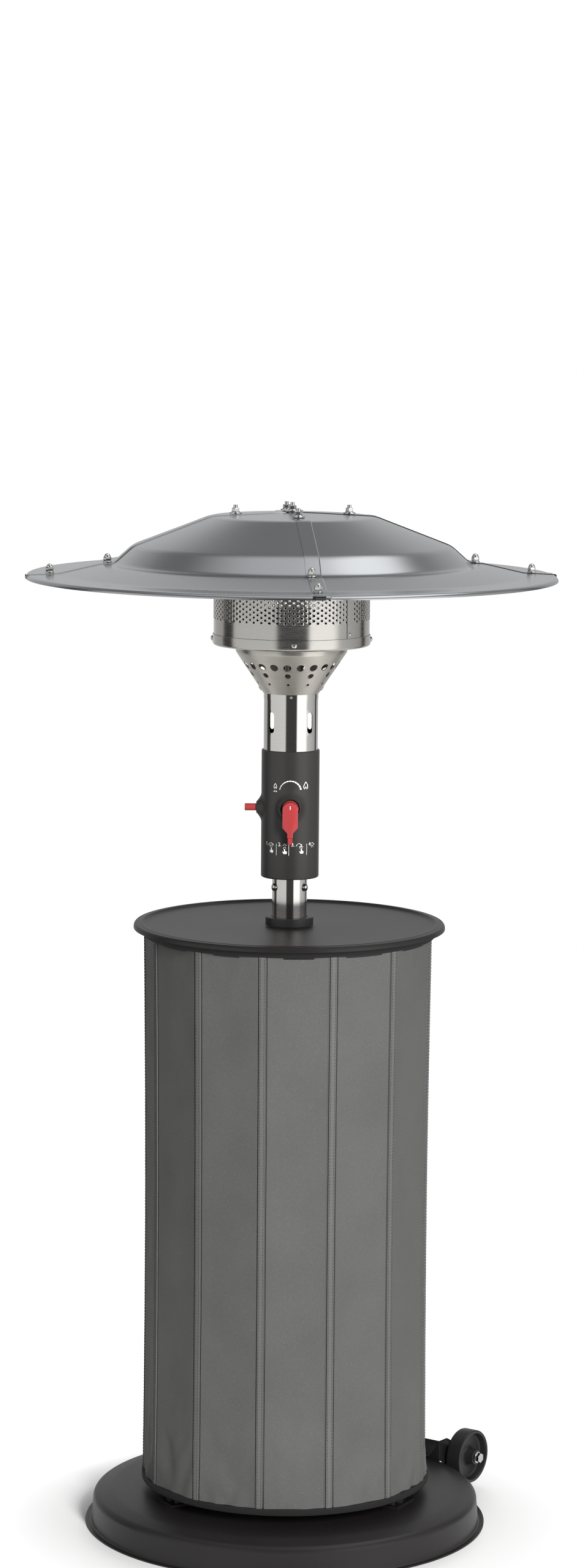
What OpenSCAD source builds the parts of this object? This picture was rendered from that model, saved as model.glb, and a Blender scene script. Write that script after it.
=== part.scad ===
/* [Base] */
// Radius of the flange that stands on the floor
base_r = 294; // [285:1:320]
// Radius of the base wall at its foot
base_wall_r = 285; // [270:1:287]
// Height of the flat top of the base
base_h = 50; // [44:1:60]
// Radius of the flat part of the base top
base_flat_r = 250; // [246:1:256]
// Thickness of the base sheet
base_t = 2; // [1.5:0.1:2.5]
// Radius of the rounded shoulder of the base
shoulder_r = 11; // [7:1:14]

/* [Frame in the bottle bay] */
// Distance of the post circle inside the top of the sleeve
post_inset = 26; // [24:1:33]
// Radius of a post
post_r = 9.5; // [8:0.5:10.5]
// Angle of the two front posts from the front
post_angle = 62; // [55:1:70]
// Thickness of the plates that the posts end in
plate_t = 3; // [2.5:0.5:4]
// Thickness of the spider plate under the table
spider_t = 4; // [3:0.5:5]
// Height of the table surface above the floor
table_h = 889.5; // [820:1:950]
// Radius of the table
table_r = 226; // [220:1:240]
// Thickness of the table sheet
table_t = 1.2; // [1:0.1:2]
// Height of the table rim above its surface
table_rim_h = 3.5; // [2:0.5:5]
// Depth that the table edge hangs below its surface
table_skirt = 7; // [5:0.5:9]

/* [Sleeve] */
// Radius of the sleeve at its top
sleeve_top_r = 211; // [209.5:0.1:213]
// How much the sleeve narrows at half height
sleeve_waist = 2.6; // [0:0.2:4]
// Number of cloth panels
panel_count = 13; // [12:1:14]
// How far a panel lies inside the circle of its seams
panel_sag = 2.4; // [0:0.2:3.5]
// Thickness of the sleeve wall
cloth_t = 2; // [1.5:0.1:2.5]
// Width of a top-stitched seam strip
seam_w = 11; // [8:0.5:13]
// Height of the hem above the floor
hem_z = 67; // [62:1:80]
// Width of the bound hem
hem_w = 9.8; // [8:0.2:14]
// Width of the band at the top of the sleeve
band_w = 8.6; // [7:0.2:10]

/* [Wheels] */
// Radius of a wheel
wheel_r = 40; // [37:0.5:42]
// Width of the tread
wheel_w = 25.8; // [22:0.2:29]
// Angle of the wheel pair from the rear towards the right
wheel_turn = 35.8; // [30:0.2:40]
// Distance of the axle from the mast
axle_c = 302; // [301:0.5:308]
// Height of the axle
axle_z = 46.4; // [45:0.2:50]
// Distance from the middle to the outer face of an ear
ear_s = 105; // [100:0.5:112]
// Height of the ears above the axle
ear_rise = 30; // [24:1:34]
// Thickness of the bracket sheet
bracket_t = 2; // [1.5:0.1:3]
// Radius of the wheel bolts
axle_bolt_r = 4; // [3.5:0.1:4.2]

/* [Mast] */
// Radius of the mast tube
mast_r = 25.4; // [24.5:0.1:26]
// Wall of the mast tube
mast_wall = 1.5; // [1.2:0.1:2]
// Length of mast that shows between the collar and the housing
mast_show = 58.5; // [50:0.5:90]
// Length of the guide below the spider plate
guide_drop = 107.7; // [98:0.1:168]
// Wall of the guide tube
guide_wall = 4.5; // [4:0.1:5]
// Height of the ring that the lowered mast stands on
stop_h = 20; // [16:1:30]
// Radius of the collar on the table
collar_r = 34.8; // [34:0.1:38]
// Height of the collar above the table surface
collar_h = 12; // [11:0.5:16]
// Height of the seat pressed up in the table under the collar
collar_seat = 0.6; // [0.4:0.1:1]
// Running clearance between a shaft and its bore
fit_gap = 0.05; // [0.02:0.01:0.08]

/* [Control housing] */
// Radius of the control housing
housing_r = 41.9; // [41.6:0.1:44]
// Height of the control housing
housing_h = 186; // [180:1:210]
// Wall of the control housing
housing_wall = 2.6; // [2.4:0.1:3]
// Height of the knob axis above the foot of the housing
knob_h = 105; // [100:1:110]
// Distance from the mast axis to the face of the knob boss
boss_face = 50; // [48:0.5:54]
// Radius of the knob boss at its face
boss_r = 15; // [14.6:0.1:17]
// Width of the lever knob
lever_w = 22.5; // [20:0.5:24]
// Length of the lever below the knob axis
lever_drop = 50; // [44:1:56]
// Thickness of the lever knob
lever_t = 15; // [12:0.5:18]
// Travel of the knob when it is pressed
knob_press = 4; // [3:0.1:4.3]
// Radius of the igniter button
button_r = 5.15; // [4.5:0.05:5.4]
// Length of the igniter button outside its boss
button_out = 16.7; // [12:0.1:20]
// Distance from the mast axis to the end of the button boss
side_boss_x = 49.2; // [48.5:0.1:53]

/* [Head] */
// Radius of the head tube
head_r = 39.1; // [38.7:0.1:39.1]
// Wall of the head tube
head_wall = 1.2; // [1:0.1:1.5]
// Height of head tube that shows above the housing
head_show = 75; // [70:1:95]
// Height of the four slots in the head tube
slot_h = 30.5; // [24:0.5:34]
// Width of a slot
slot_w = 10; // [8:0.5:12]
// Height of the burner cone
cone_h = 77; // [70:1:90]
// Radius of the top of the burner cone
cone_top_r = 80.5; // [78:0.5:90]
// Thickness of the cone sheet
cone_t = 1; // [0.8:0.1:1.2]
// Radius of the burner pan
pan_r = 113.7; // [111:0.1:120]
// Height of the rim of the burner pan
pan_rim_h = 16; // [13:0.5:20]
// Thickness of the pan sheet
pan_t = 1; // [0.8:0.1:1.2]
// Radius of the mixing tube
mix_r = 13; // [11:0.5:15]
// Radius of the burner drum
drum_r = 58; // [50:1:75]
// Height of the burner drum
drum_h = 34; // [28:1:45]
// Height of the emitter screen
screen_h = 139; // [130:1:150]
// Thickness of the screen sheet
screen_t = 0.8; // [0.6:0.1:1]
// Rows of holes in the screen
screen_rows = 7; // [5:1:8]
// Holes in each row, an even number
screen_columns = 24; // [16:2:28]
// Radius of a screen hole
screen_hole_r = 4.6; // [3:0.1:5]

/* [Hood] */
// Radius of the hood
hood_r = 382.5; // [370:0.5:410]
// Height of the hood apex above the screen lid
hood_lift = 48; // [42:1:60]
// Height of the hood from its brim to its apex
hood_h = 95.5; // [85:0.5:105]
// Thickness of the hood sheet
hood_t = 0.8; // [0.6:0.1:1]
// Width of the overlap of two hood sheets
lap_w = 14; // [12.8:0.2:18]
// Angle of the first seam from the front towards the right
seam_turn = 5.9; // [0:0.1:12]
// Distance of the outer cap nuts from the brim
nut_inset = 34.5; // [20:0.5:40]
// Radius at which the flat step of the hood begins
step_r = 257; // [245:1:265]
// Radius of the circle of the hood studs
stud_circle_r = 82; // [70:1:95]
// Radius of the studs and seam bolts
stud_r = 3; // [2.5:0.1:3]

/* [Hidden] */
$fn = 64;

// Gap between two pieces that rest on each other
seat = 0.1;
// Gap between pieces of different bodies that do not touch
clear = 0.3;
// A little more than a wall, so that a cut passes through
past = 1;
bolt_r = stud_r - 0.05;
bolt_hole_r = stud_r + 0.2;
hex_r = 10 / 3 * stud_r / sqrt(3);

guide_bore_r = mast_r + fit_gap;
guide_r = guide_bore_r + guide_wall;
spider_z = table_h - table_t - spider_t;
post_circle_r = sleeve_top_r - post_inset;
plate_half = post_r + 18;
plate_reach = post_r + 5.5;
foot_bolt_s = post_r + 8;
guide_flange_r = guide_r + 18;
table_stud_circle_r = guide_r + 9.5;
hoop_r = sleeve_top_r - cloth_t - 2;
hoop_t = 3;
hoop_h = 12;

plug_z = base_h + stop_h + clear;
plug_h = 6;
plug_r = mast_r + 3.4;
mast_z = plug_z + plug_h;
guide_z = spider_z - guide_drop;
mast_travel = guide_z - clear - mast_z;
guide_top = table_h + collar_h - 5;
clamp_z = guide_z + 24;
housing_z = table_h + collar_h + mast_show;
spigot_r = mast_r - mast_wall - seat;
spigot_wall = 3;
spigot_h = 35;
mast_bolt_z = housing_z - 14.5;
housing_in_r = housing_r - housing_wall;
housing_top = housing_z + housing_h;
shelf_z = housing_top - 28;
knob_z = housing_z + knob_h;
button_z = knob_z - 4;
well_r = boss_r - 1.5;
well_depth = knob_press + 2;
spindle_r = 3;
bonnet_r = 9;
bonnet_end = boss_face - well_depth + 0.2;
lever_back = boss_face + knob_press + 2 * clear;

head_z = shelf_z + 4;
head_top = housing_top + head_show + 8;
slot_z = housing_top + head_show - 49.5;
cone_z = housing_top + head_show - 1;
pan_z = cone_z + cone_h + clear;
screen_r = pan_r - pan_t - 0.4;
screen_z = pan_z + 4.1;
lid_z = screen_z + screen_h;
lid_t = 1;
apex_z = lid_z + hood_lift;
brim_z = apex_z - hood_h;
joggle = hood_t + seat;
bracket_c = 254;
bracket_bolt_c = 232;
wheel_in = ear_s + 4;
hub_r = 13;
hub_out = wheel_w + 7;
wheel_end = wheel_in - 2 + hub_out;
washer_r = 8.5;
sleeve_top_z = spider_z + spider_t - 2 - band_w;
sleeve_bottom_z = hem_z + hem_w + seat;

nut_outer_r = hood_r - nut_inset;
nut_inner_r = step_r + 8.6;
neck_r = head_r + clear + cone_t;
cone_tilt = atan((cone_top_r - neck_r) / (cone_h - 17));
lap_turns = [for (k = [0:3]) seam_turn - 90 + 90 * k];

// Points along an arc of a profile
function arc(centre, r, from, to, steps) = [
    for (i = [0:steps])
        let (a = from + (to - from) * i / steps)
        centre + r * [cos(a), sin(a)]
];

// Unit normal on the left of the way from one point to the next
function side_of(p, q) = let (d = (q - p) / norm(q - p)) [-d[1], d[0]];

// A path moved to its left by a distance, mitred at its corners
function beside(path, t) = [
    for (i = [0:len(path) - 1])
        let (a = side_of(path[max(i - 1, 0)], path[max(i, 1)]),
             b = side_of(path[min(i, len(path) - 2)], path[min(i + 1, len(path) - 1)]))
        path[i] + t * (a + b) / (1 + a * b)
];

function back(path) = [for (i = [len(path) - 1:-1:0]) path[i]];

function moved(path, by) = [for (p = path) p + by];

// A path whose inner corners are cut back and rounded over a length
function rounded(path, cut) = [
    for (i = [0:len(path) - 1])
        if (i == 0 || i == len(path) - 1) path[i]
        else
            let (p = path[i],
                 a = p + cut * (path[i - 1] - p) / norm(path[i - 1] - p),
                 b = p + cut * (path[i + 1] - p) / norm(path[i + 1] - p))
            each [a, (a + 2 * p + b) / 4, b]
];

// A sheet of thickness t turned about the mast axis, on the left of its path
module turned_sheet(path, t) {
    rotate_extrude(angle = 360, $fn = 96) polygon(concat(path, back(beside(path, t))));
}

// A ring with a plain rectangular section
module ring(r1, r2, z1, z2) {
    rotate_extrude($fn = 96) translate([r1, z1]) square([r2 - r1, z2 - z1]);
}

// Copies at the three post places, with local +X pointing outwards
module at_posts() {
    for (a = [post_angle, -post_angle, 180]) rotate([0, 0, a - 90]) children();
}

// Local X runs along the wheel axle and local Y away from the mast
module at_bracket() {
    rotate([0, 0, -wheel_turn]) children();
}

// Copies at the four seams of the hood, with local +X pointing outwards
module at_seams() {
    for (k = [0:3]) rotate([0, 0, seam_turn - 90 + 90 * k]) children();
}

// A hex headed bolt with its head's seat at z = 0 and its shank going up
module bolt_up(r, length, head_h) {
    union() {
        cylinder(r = r, h = length);
        translate([0, 0, -head_h]) cylinder(r = hex_r, h = head_h, $fn = 6);
    }
}

module base_pan() {
    arc_z = base_h - 5.5 - shoulder_r * sin(75);
    arc_x = base_wall_r - 2 - shoulder_r;
    path = concat(
        [[base_r, base_t], [base_wall_r + 2.4, base_t], [base_wall_r + 0.6, 3.4], [base_wall_r, 6]],
        arc([arc_x, arc_z], shoulder_r, 0, 75, 5),
        [[base_flat_r + 8, base_h - 1.4], [base_flat_r, base_h], [past, base_h]]
    );
    color("#1c1b1d") difference() {
        turned_sheet(path, base_t);
        translate([0, 0, base_h - 3 * base_t]) cylinder(r = 8, h = 6 * base_t);
        at_posts() for (s = [-1, 1])
            translate([post_circle_r, s * foot_bolt_s, base_h - 3 * base_t])
                cylinder(r = bolt_hole_r, h = 6 * base_t);
        at_bracket() for (s = [-1, 1])
            translate([s * 45, bracket_bolt_c, base_h - 3 * base_t])
                cylinder(r = bolt_hole_r, h = 6 * base_t);
    }
}

// Rubber ring that the lowered mast stands on, open at the front for a hose
module mast_stop() {
    color("#232323") difference() {
        translate([0, 0, base_h]) cylinder(r = plug_r, h = stop_h);
        translate([0, 0, base_h - past]) cylinder(r = 15, h = stop_h + 2 * past);
        translate([-9, -plug_r - past, base_h + 3]) cube([18, plug_r, stop_h]);
    }
}

module post_plate(z) {
    difference() {
        translate([post_circle_r - plate_reach, -plate_half, z])
            cube([2 * plate_reach, 2 * plate_half, plate_t]);
        for (s = [-1, 1])
            translate([post_circle_r, s * foot_bolt_s, z - past])
                cylinder(r = bolt_hole_r, h = plate_t + 2 * past);
    }
}

module support_posts() {
    foot_top = base_h + plate_t;
    color("#2a2a2c") at_posts() union() {
        post_plate(base_h);
        post_plate(spider_z - plate_t);
        difference() {
            translate([post_circle_r, 0, foot_top])
                cylinder(r = post_r, h = spider_z - plate_t - foot_top);
            translate([post_circle_r, 0, foot_top + past])
                cylinder(r = post_r - 1.5, h = spider_z - plate_t - foot_top - 2 * past);
        }
    }
}

// Bolts from above through the post feet, with their nuts under the base sheet
module post_foot_bolts() {
    color("#b9bbbd") at_posts() for (s = [-1, 1])
        translate([post_circle_r, s * foot_bolt_s, base_h]) {
            translate([0, 0, plate_t]) mirror([0, 0, 1]) bolt_up(bolt_r, plate_t + base_t + 8, 4);
            translate([0, 0, -base_t - 5]) difference() {
                cylinder(r = hex_r, h = 5, $fn = 6);
                translate([0, 0, -past]) cylinder(r = bolt_r + 0.03, h = 5 + 2 * past);
            }
        }
}

module spider_plate() {
    color("#2a2a2c") difference() {
        union() {
            translate([0, 0, spider_z]) cylinder(r = guide_flange_r + 8, h = spider_t);
            at_posts() translate([0, -plate_half, spider_z])
                cube([hoop_r - hoop_t / 2, 2 * plate_half, spider_t]);
            ring(hoop_r - hoop_t, hoop_r, spider_z - hoop_h, spider_z + spider_t);
        }
        translate([0, 0, spider_z - past]) cylinder(r = guide_r + seat, h = spider_t + 2 * past);
        for (k = [0:2]) rotate([0, 0, 120 * k + 30])
            translate([table_stud_circle_r, 0, spider_z - past])
                cylinder(r = bolt_hole_r, h = spider_t + 2 * past);
        at_posts() for (s = [-1, 1])
            translate([post_circle_r, s * foot_bolt_s, spider_z - past])
                cylinder(r = bolt_r + 0.03, h = spider_t + 2 * past);
    }
}

module post_top_bolts() {
    color("#b9bbbd") at_posts() for (s = [-1, 1])
        translate([post_circle_r, s * foot_bolt_s, spider_z - plate_t])
            bolt_up(bolt_r, plate_t + spider_t - 0.5, 4);
}

// Guide tube with its flange under the spider and the boss of the clamp screw
module mast_guide() {
    color("#2a2a2c") difference() {
        union() {
            translate([0, 0, guide_z]) cylinder(r = guide_r, h = guide_top - guide_z);
            translate([0, 0, spider_z - 3]) cylinder(r = guide_flange_r, h = 3);
            translate([0, 0, clamp_z]) rotate([90, 0, 0]) cylinder(r = 10, h = guide_r + 12);
        }
        translate([0, 0, guide_z - past])
            cylinder(r = guide_bore_r, h = guide_top - guide_z + 2 * past);
        translate([0, 0, clamp_z]) rotate([90, 0, 0])
            cylinder(r = 4 + fit_gap, h = guide_r + 12 + past);
        for (k = [0:2]) rotate([0, 0, 120 * k + 30])
            translate([table_stud_circle_r, 0, spider_z - 3 - past])
                cylinder(r = bolt_hole_r, h = 3 + 2 * past);
    }
}

// Clamp screw with a lobed hand knob
module clamp_screw() {
    tip = mast_r + clear;
    knob_y = guide_r + 12 + clear;
    color("#202022") translate([0, 0, clamp_z]) rotate([90, 0, 0]) union() {
        translate([0, 0, tip]) cylinder(r = 4, h = knob_y - tip + 2);
        translate([0, 0, knob_y]) cylinder(r = 13, h = 14);
        for (k = [0:4]) rotate([0, 0, 72 * k]) translate([12, 0, knob_y + 3]) cylinder(r = 5.5, h = 11);
    }
}

// Round table sheet with a raised rim, a turned-down edge and welded studs
module table_top() {
    crest = table_r - 11;
    path = concat(
        [[guide_r + seat, table_h + collar_seat], [collar_r + 1.5, table_h + collar_seat],
         [collar_r + 2.5, table_h], [crest - 7, table_h], [crest - 4, table_h + 0.3 * table_rim_h]],
        arc([crest, table_h + table_rim_h - 3.4], 3.4, 125, 60, 4),
        arc([table_r - 7, table_h - 3], 7, 55, 0, 4),
        [[table_r, table_h - table_skirt]]
    );
    color("#232021") union() {
        turned_sheet(path, -table_t);
        for (k = [0:2]) rotate([0, 0, 120 * k + 30])
            translate([table_stud_circle_r, 0, spider_z - 3 - 7])
                cylinder(r = bolt_r, h = spider_t + 3 + 7 + table_t / 2);
    }
}

module table_nuts() {
    color("#b9bbbd") for (k = [0:2]) rotate([0, 0, 120 * k + 30])
        translate([table_stud_circle_r, 0, spider_z - 3 - 5]) difference() {
            cylinder(r = hex_r, h = 5, $fn = 6);
            translate([0, 0, -past]) cylinder(r = bolt_r + 0.03, h = 5 + 2 * past);
        }
}

// Collar over the end of the guide, with a lip round the mast
module mast_collar() {
    path = [
        [guide_r + fit_gap, table_h + collar_seat], [collar_r, table_h + collar_seat],
        [collar_r, table_h + collar_h - 1],
        [collar_r - 1, table_h + collar_h], [mast_r + 0.6, table_h + collar_h],
        [mast_r + 0.6, guide_top + seat], [guide_r + fit_gap, guide_top + seat]
    ];
    color("#1d1c1d") rotate_extrude($fn = 96) polygon(path);
}

// Radius of the sleeve on its way down, narrowest at half height
function sleeve_radius(z) =
    let (f = (z - sleeve_bottom_z) / (sleeve_top_z - sleeve_bottom_z))
    sleeve_top_r - sleeve_waist * sin(180 * f) - (1 - f) * 0.8;

// Share of the panel sag at a height: none at the hoop, least at the hem wire
function sag_share(z) =
    let (f = (z - sleeve_bottom_z) / (sleeve_top_z - sleeve_bottom_z))
    0.35 + 1.3 * sin(180 * f) * 0.5 - 0.35 * f;

// One point of the sleeve wall: u runs over the panels, with a raised strip at each seam
function sleeve_point(panel, step, z, inset) =
    let (strip = seam_w / 2 / sleeve_top_r * 180 / PI,
         pitch = 360 / panel_count,
         edge = step == 0 || step == 5,
         turn = step == 0 ? -strip : step == 5 ? strip
              : strip + (pitch - 2 * strip) * (step == 1 ? 0.02 : step == 2 ? 0.33 : step == 3 ? 0.67 : 0.98),
         part_way = (turn - strip) / (pitch - 2 * strip),
         sag = edge ? 0 : panel_sag * sag_share(z) * sin(180 * part_way) + 0.6,
         r = sleeve_radius(z) - sag - inset,
         a = -10.2 - 90 + pitch * panel + turn)
    [r * cos(a), r * sin(a), z];

// Closed cloth wall of panels, with an outer and an inner ring at each height
module sleeve() {
    order = [0, 5, 1, 2, 3, 4];
    count = panel_count * 6;
    levels = 6;
    heights = [for (i = [0:levels]) sleeve_bottom_z + (sleeve_top_z - sleeve_bottom_z) * i / levels];
    points = [
        for (inset = [0, cloth_t]) for (z = heights)
            for (panel = [0:panel_count - 1]) for (s = order) sleeve_point(panel, s, z, inset)
    ];
    inner = (levels + 1) * count;
    walls = [
        for (i = [0:levels - 1]) for (j = [0:count - 1])
            let (a = i * count + j, b = i * count + (j + 1) % count, c = a + count, d = b + count)
            each [[a, c, b], [b, c, d], [inner + a, inner + b, inner + c], [inner + b, inner + d, inner + c]]
    ];
    ends = [
        for (j = [0:count - 1])
            let (a = j, b = (j + 1) % count, top = levels * count)
            each [[a, b, inner + a], [b, inner + b, inner + a],
                  [top + a, top + inner + a, top + b], [top + b, top + inner + a, top + inner + b]]
    ];
    color("#5d5d5c") polyhedron(points, concat(walls, ends), convexity = 8);
}

// Black band that holds the top of the sleeve to the hoop
module sleeve_band() {
    color("#161616")
        ring(hoop_r + clear, sleeve_top_r + 0.6, sleeve_top_z + seat, sleeve_top_z + seat + band_w);
}

// Folded binding at the foot of the sleeve, open inwards round its wire
module sleeve_hem() {
    r = sleeve_top_r + 0.6;
    color("#161616") rotate_extrude($fn = 96) difference() {
        translate([r - 4, hem_z]) square([4, hem_w]);
        translate([r - 3.4, hem_z + hem_w / 2 - 1.6]) square([2.4, 3.2]);
        translate([r - 4 - past, hem_z + hem_w / 2 - 1.2]) square([2, 2.4]);
    }
}

module hem_wire() {
    color("#8a8c8e") rotate_extrude($fn = 96)
        translate([sleeve_top_r + 0.6 - 2.2, hem_z + hem_w / 2]) circle(r = 1.1, $fn = 24);
}

// Black sheet bracket: foot on the base, upright plate and two ears for the wheel bolts
module wheel_bracket() {
    plate_top = axle_z + ear_rise;
    ear = [
        [bracket_c, plate_top], [bracket_c, base_h + 3], [axle_c - 26, base_h + 1],
        [axle_c - 8, axle_z - 11], [axle_c + 9, axle_z - 11], [axle_c + 14, axle_z],
        [axle_c + 9, axle_z + 12], [bracket_c + 22, plate_top]
    ];
    color("#1b1b1c") at_bracket() difference() {
        union() {
            translate([-ear_s, bracket_c - bracket_t, base_h])
                cube([2 * ear_s, bracket_t, plate_top - base_h]);
            translate([-ear_s + 20, bracket_bolt_c - 12, base_h])
                cube([2 * ear_s - 40, bracket_c - bracket_bolt_c + 12, bracket_t]);
            for (s = [-ear_s, ear_s - bracket_t])
                translate([s, 0, 0]) rotate([90, 0, 90]) linear_extrude(bracket_t) polygon(ear);
        }
        translate([-ear_s - past, axle_c, axle_z]) rotate([0, 90, 0])
            cylinder(r = axle_bolt_r + 0.1, h = 2 * ear_s + 2 * past);
        for (s = [-1, 1]) translate([s * 45, bracket_bolt_c, base_h - past])
            cylinder(r = bolt_hole_r, h = bracket_t + 2 * past);
    }
}

module bracket_bolts() {
    color("#b9bbbd") at_bracket() for (s = [-1, 1]) translate([s * 45, bracket_bolt_c, base_h]) {
        translate([0, 0, bracket_t]) mirror([0, 0, 1]) bolt_up(bolt_r, bracket_t + base_t + 8, 4);
        translate([0, 0, -base_t - 5]) difference() {
            cylinder(r = hex_r, h = 5, $fn = 6);
            translate([0, 0, -past]) cylinder(r = bolt_r + 0.03, h = 5 + 2 * past);
        }
    }
}

// Copies on the two axles, with local +Z pointing outwards along the axle from the middle
module at_axles() {
    at_bracket() for (s = [0, 1]) mirror([s, 0, 0])
        translate([0, axle_c, axle_z]) rotate([0, 90, 0]) children();
}

module axle_bolts() {
    color("#c4c6c8") at_axles() {
        translate([0, 0, ear_s - bracket_t - 9]) cylinder(r = axle_bolt_r, h = wheel_end + 2.2 - ear_s + bracket_t + 9);
        translate([0, 0, wheel_end + 2.2]) cylinder(r = 13 / sqrt(3), h = 5.5, $fn = 6);
    }
}

// One washer between each ear and its wheel, and one under each bolt head
module axle_washers() {
    color("#c4c6c8") at_axles() for (z = [ear_s, wheel_end + 0.5]) translate([0, 0, z]) difference() {
        cylinder(r = washer_r, h = 1.6);
        translate([0, 0, -past]) cylinder(r = axle_bolt_r + 0.1, h = 1.6 + 2 * past);
    }
}

module axle_nuts() {
    color("#b9bbbd") at_axles() translate([0, 0, ear_s - bracket_t - 7]) difference() {
        cylinder(r = 13 / sqrt(3), h = 6.9, $fn = 6);
        translate([0, 0, -past]) cylinder(r = axle_bolt_r + 0.03, h = 6.9 + 2 * past);
    }
}

// Wheel turned about its axle: rounded tread, recessed web on both sides and a long hub
module wheel() {
    hub_z = wheel_in - 2;
    z1 = wheel_in;
    z2 = wheel_in + wheel_w;
    web = (z1 + z2) / 2 - 4;
    tyre = 6;
    path = concat(
        [[axle_bolt_r + fit_gap, hub_z], [hub_r, hub_z], [hub_r + 1, web - 2.5], [hub_r + 3, web],
         [wheel_r - tyre, web], [wheel_r - tyre + 0.8, z1 + 1.5]],
        arc([wheel_r - 4.5, z1 + 4.5], 4.5, -100, 0, 5),
        arc([wheel_r - 2.2, z2 - 2.2], 2.2, 0, 100, 4),
        [[wheel_r - tyre + 0.8, z2 - 1], [wheel_r - tyre, web + 5], [hub_r + 3, web + 5],
         [hub_r - 1, web + 8], [hub_r - 2.5, wheel_end], [axle_bolt_r + fit_gap, wheel_end]]
    );
    color("#1a1a1b") translate([0, axle_c, axle_z]) rotate([0, 90, 0])
        rotate_extrude($fn = 96) polygon(path);
}

module wheel_right() {
    at_bracket() wheel();
}

module wheel_left() {
    at_bracket() mirror([1, 0, 0]) wheel();
}

module mast_tube() {
    color("#d9dadb") difference() {
        translate([0, 0, mast_z]) cylinder(r = mast_r, h = housing_z - mast_z);
        translate([0, 0, mast_z - past]) cylinder(r = mast_r - mast_wall, h = housing_z - mast_z + 2 * past);
        for (a = [-149, -31, 90]) rotate([0, 0, a]) translate([0, 0, mast_bolt_z])
            rotate([0, 90, 0]) cylinder(r = bolt_hole_r, h = mast_r + past);
    }
}

// Plug at the foot of the mast: its flange stops the mast at the guide
module mast_foot_plug() {
    color("#1b1b1c") difference() {
        union() {
            translate([0, 0, plug_z]) cylinder(r = plug_r, h = plug_h);
            translate([0, 0, mast_z]) cylinder(r = mast_r - mast_wall - seat, h = 22);
        }
        translate([0, 0, plug_z - past]) cylinder(r = 12, h = plug_h + 22 + 2 * past);
    }
}

// Dome headed bolts through the mast into the spigot of the housing
module mast_bolts() {
    color("#c4c6c8") for (a = [-149, -31, 90]) rotate([0, 0, a])
        translate([0, 0, mast_bolt_z]) rotate([0, 90, 0]) union() {
            translate([0, 0, spigot_r - spigot_wall + 0.5])
                cylinder(r = bolt_r, h = mast_r + 1 - spigot_r + spigot_wall);
            translate([0, 0, mast_r + 0.2]) rotate_extrude()
                polygon([[0, 0], [6, 0], [5.8, 1.2], [4.6, 2.6], [2.6, 3.4], [0, 3.6]]);
        }
}

// Profile of a boss that flares from its face to the housing wall, turned about local +Z
module boss(face_r, foot_r, face, foot) {
    rotate_extrude($fn = 96) polygon([
        [0, foot], [foot_r, foot],
        [face_r + (foot_r - face_r) * 0.35, foot + (face - foot) * 0.45], [face_r, face - 0.8],
        [face_r - 0.8, face], [0, face]
    ]);
}

// Cast housing: shell, floor, spigot into the mast, shelf for the head tube and two bosses
module control_housing() {
    path = concat(
        [[0, housing_z]],
        arc([housing_r - 2.2, housing_z + 2.2], 2.2, -90, 0, 3),
        arc([housing_r - 2.2, housing_top - 2.2], 2.2, 0, 90, 3),
        [[0, housing_top]]
    );
    color("#18181a") difference() {
        union() {
            difference() {
                union() {
                    rotate_extrude($fn = 96) polygon(path);
                    translate([0, 0, knob_z]) rotate([90, 0, 0]) boss(boss_r, 20, boss_face, 36);
                    translate([0, 0, button_z]) rotate([0, -90, 0]) boss(7.2, 20, side_boss_x, 36);
                }
                translate([0, 0, housing_z + 4]) cylinder(r = housing_in_r, h = shelf_z - housing_z - 4);
                translate([0, 0, shelf_z - past]) cylinder(r = head_r - 4, h = 6);
                translate([0, 0, head_z]) cylinder(r = head_r + seat, h = housing_h);
            }
            translate([0, 0, housing_z - spigot_h]) cylinder(r = spigot_r, h = spigot_h + 4);
        }
        translate([0, 0, housing_z - spigot_h - past])
            cylinder(r = spigot_r - spigot_wall, h = spigot_h + 4 + 2 * past);
        for (a = [-149, -31, 90]) rotate([0, 0, a]) translate([0, 0, mast_bolt_z])
            rotate([0, 90, 0]) cylinder(r = bolt_r + 0.03, h = mast_r + past);
        for (a = [60, 120]) rotate([0, 0, a]) translate([0, 0, head_z + 12])
            rotate([0, 90, 0]) cylinder(r = 2.1, h = housing_r + past);
        translate([0, 0, knob_z]) rotate([90, 0, 0]) {
            translate([0, 0, boss_face - well_depth]) cylinder(r = well_r, h = well_depth + past);
            cylinder(r = bonnet_r + fit_gap, h = boss_face);
        }
        translate([0, 0, button_z]) rotate([0, -90, 0]) {
            cylinder(r = button_r + fit_gap, h = side_boss_x + past);
            cylinder(r = button_r + 2, h = side_boss_x - 5);
        }
    }
}

module head_tube() {
    color("#d9dadb") difference() {
        translate([0, 0, head_z]) cylinder(r = head_r, h = head_top - head_z);
        translate([0, 0, head_z - past]) cylinder(r = head_r - head_wall, h = head_top - head_z + 2 * past);
        for (a = [0:3]) rotate([0, 0, 45 + 90 * a + 3.3]) {
            for (z = [slot_z + slot_w / 2, slot_z + slot_h - slot_w / 2])
                translate([0, 0, z]) rotate([0, 90, 0]) cylinder(r = slot_w / 2, h = head_r + past);
            translate([0, -slot_w / 2, slot_z + slot_w / 2]) cube([head_r + past, slot_w, slot_h - slot_w]);
        }
        for (a = [60, 120]) rotate([0, 0, a]) translate([0, 0, head_z + 12])
            rotate([0, 90, 0]) cylinder(r = 2.1, h = head_r + past);
    }
}

// Two small screws at the back that hold the head tube in the housing
module housing_screws() {
    color("#3a3a3c") for (a = [60, 120]) rotate([0, 0, a]) translate([0, 0, head_z + 12])
        rotate([0, 90, 0]) union() {
            translate([0, 0, head_r - head_wall - 3]) cylinder(r = 1.95, h = housing_r - head_r + head_wall + 3.5);
            translate([0, 0, housing_r + 0.1]) rotate_extrude()
                polygon([[0, 0], [3.6, 0], [3.4, 1], [2.4, 1.9], [0, 2.1]]);
        }
}

valve_half = 13;

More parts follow.
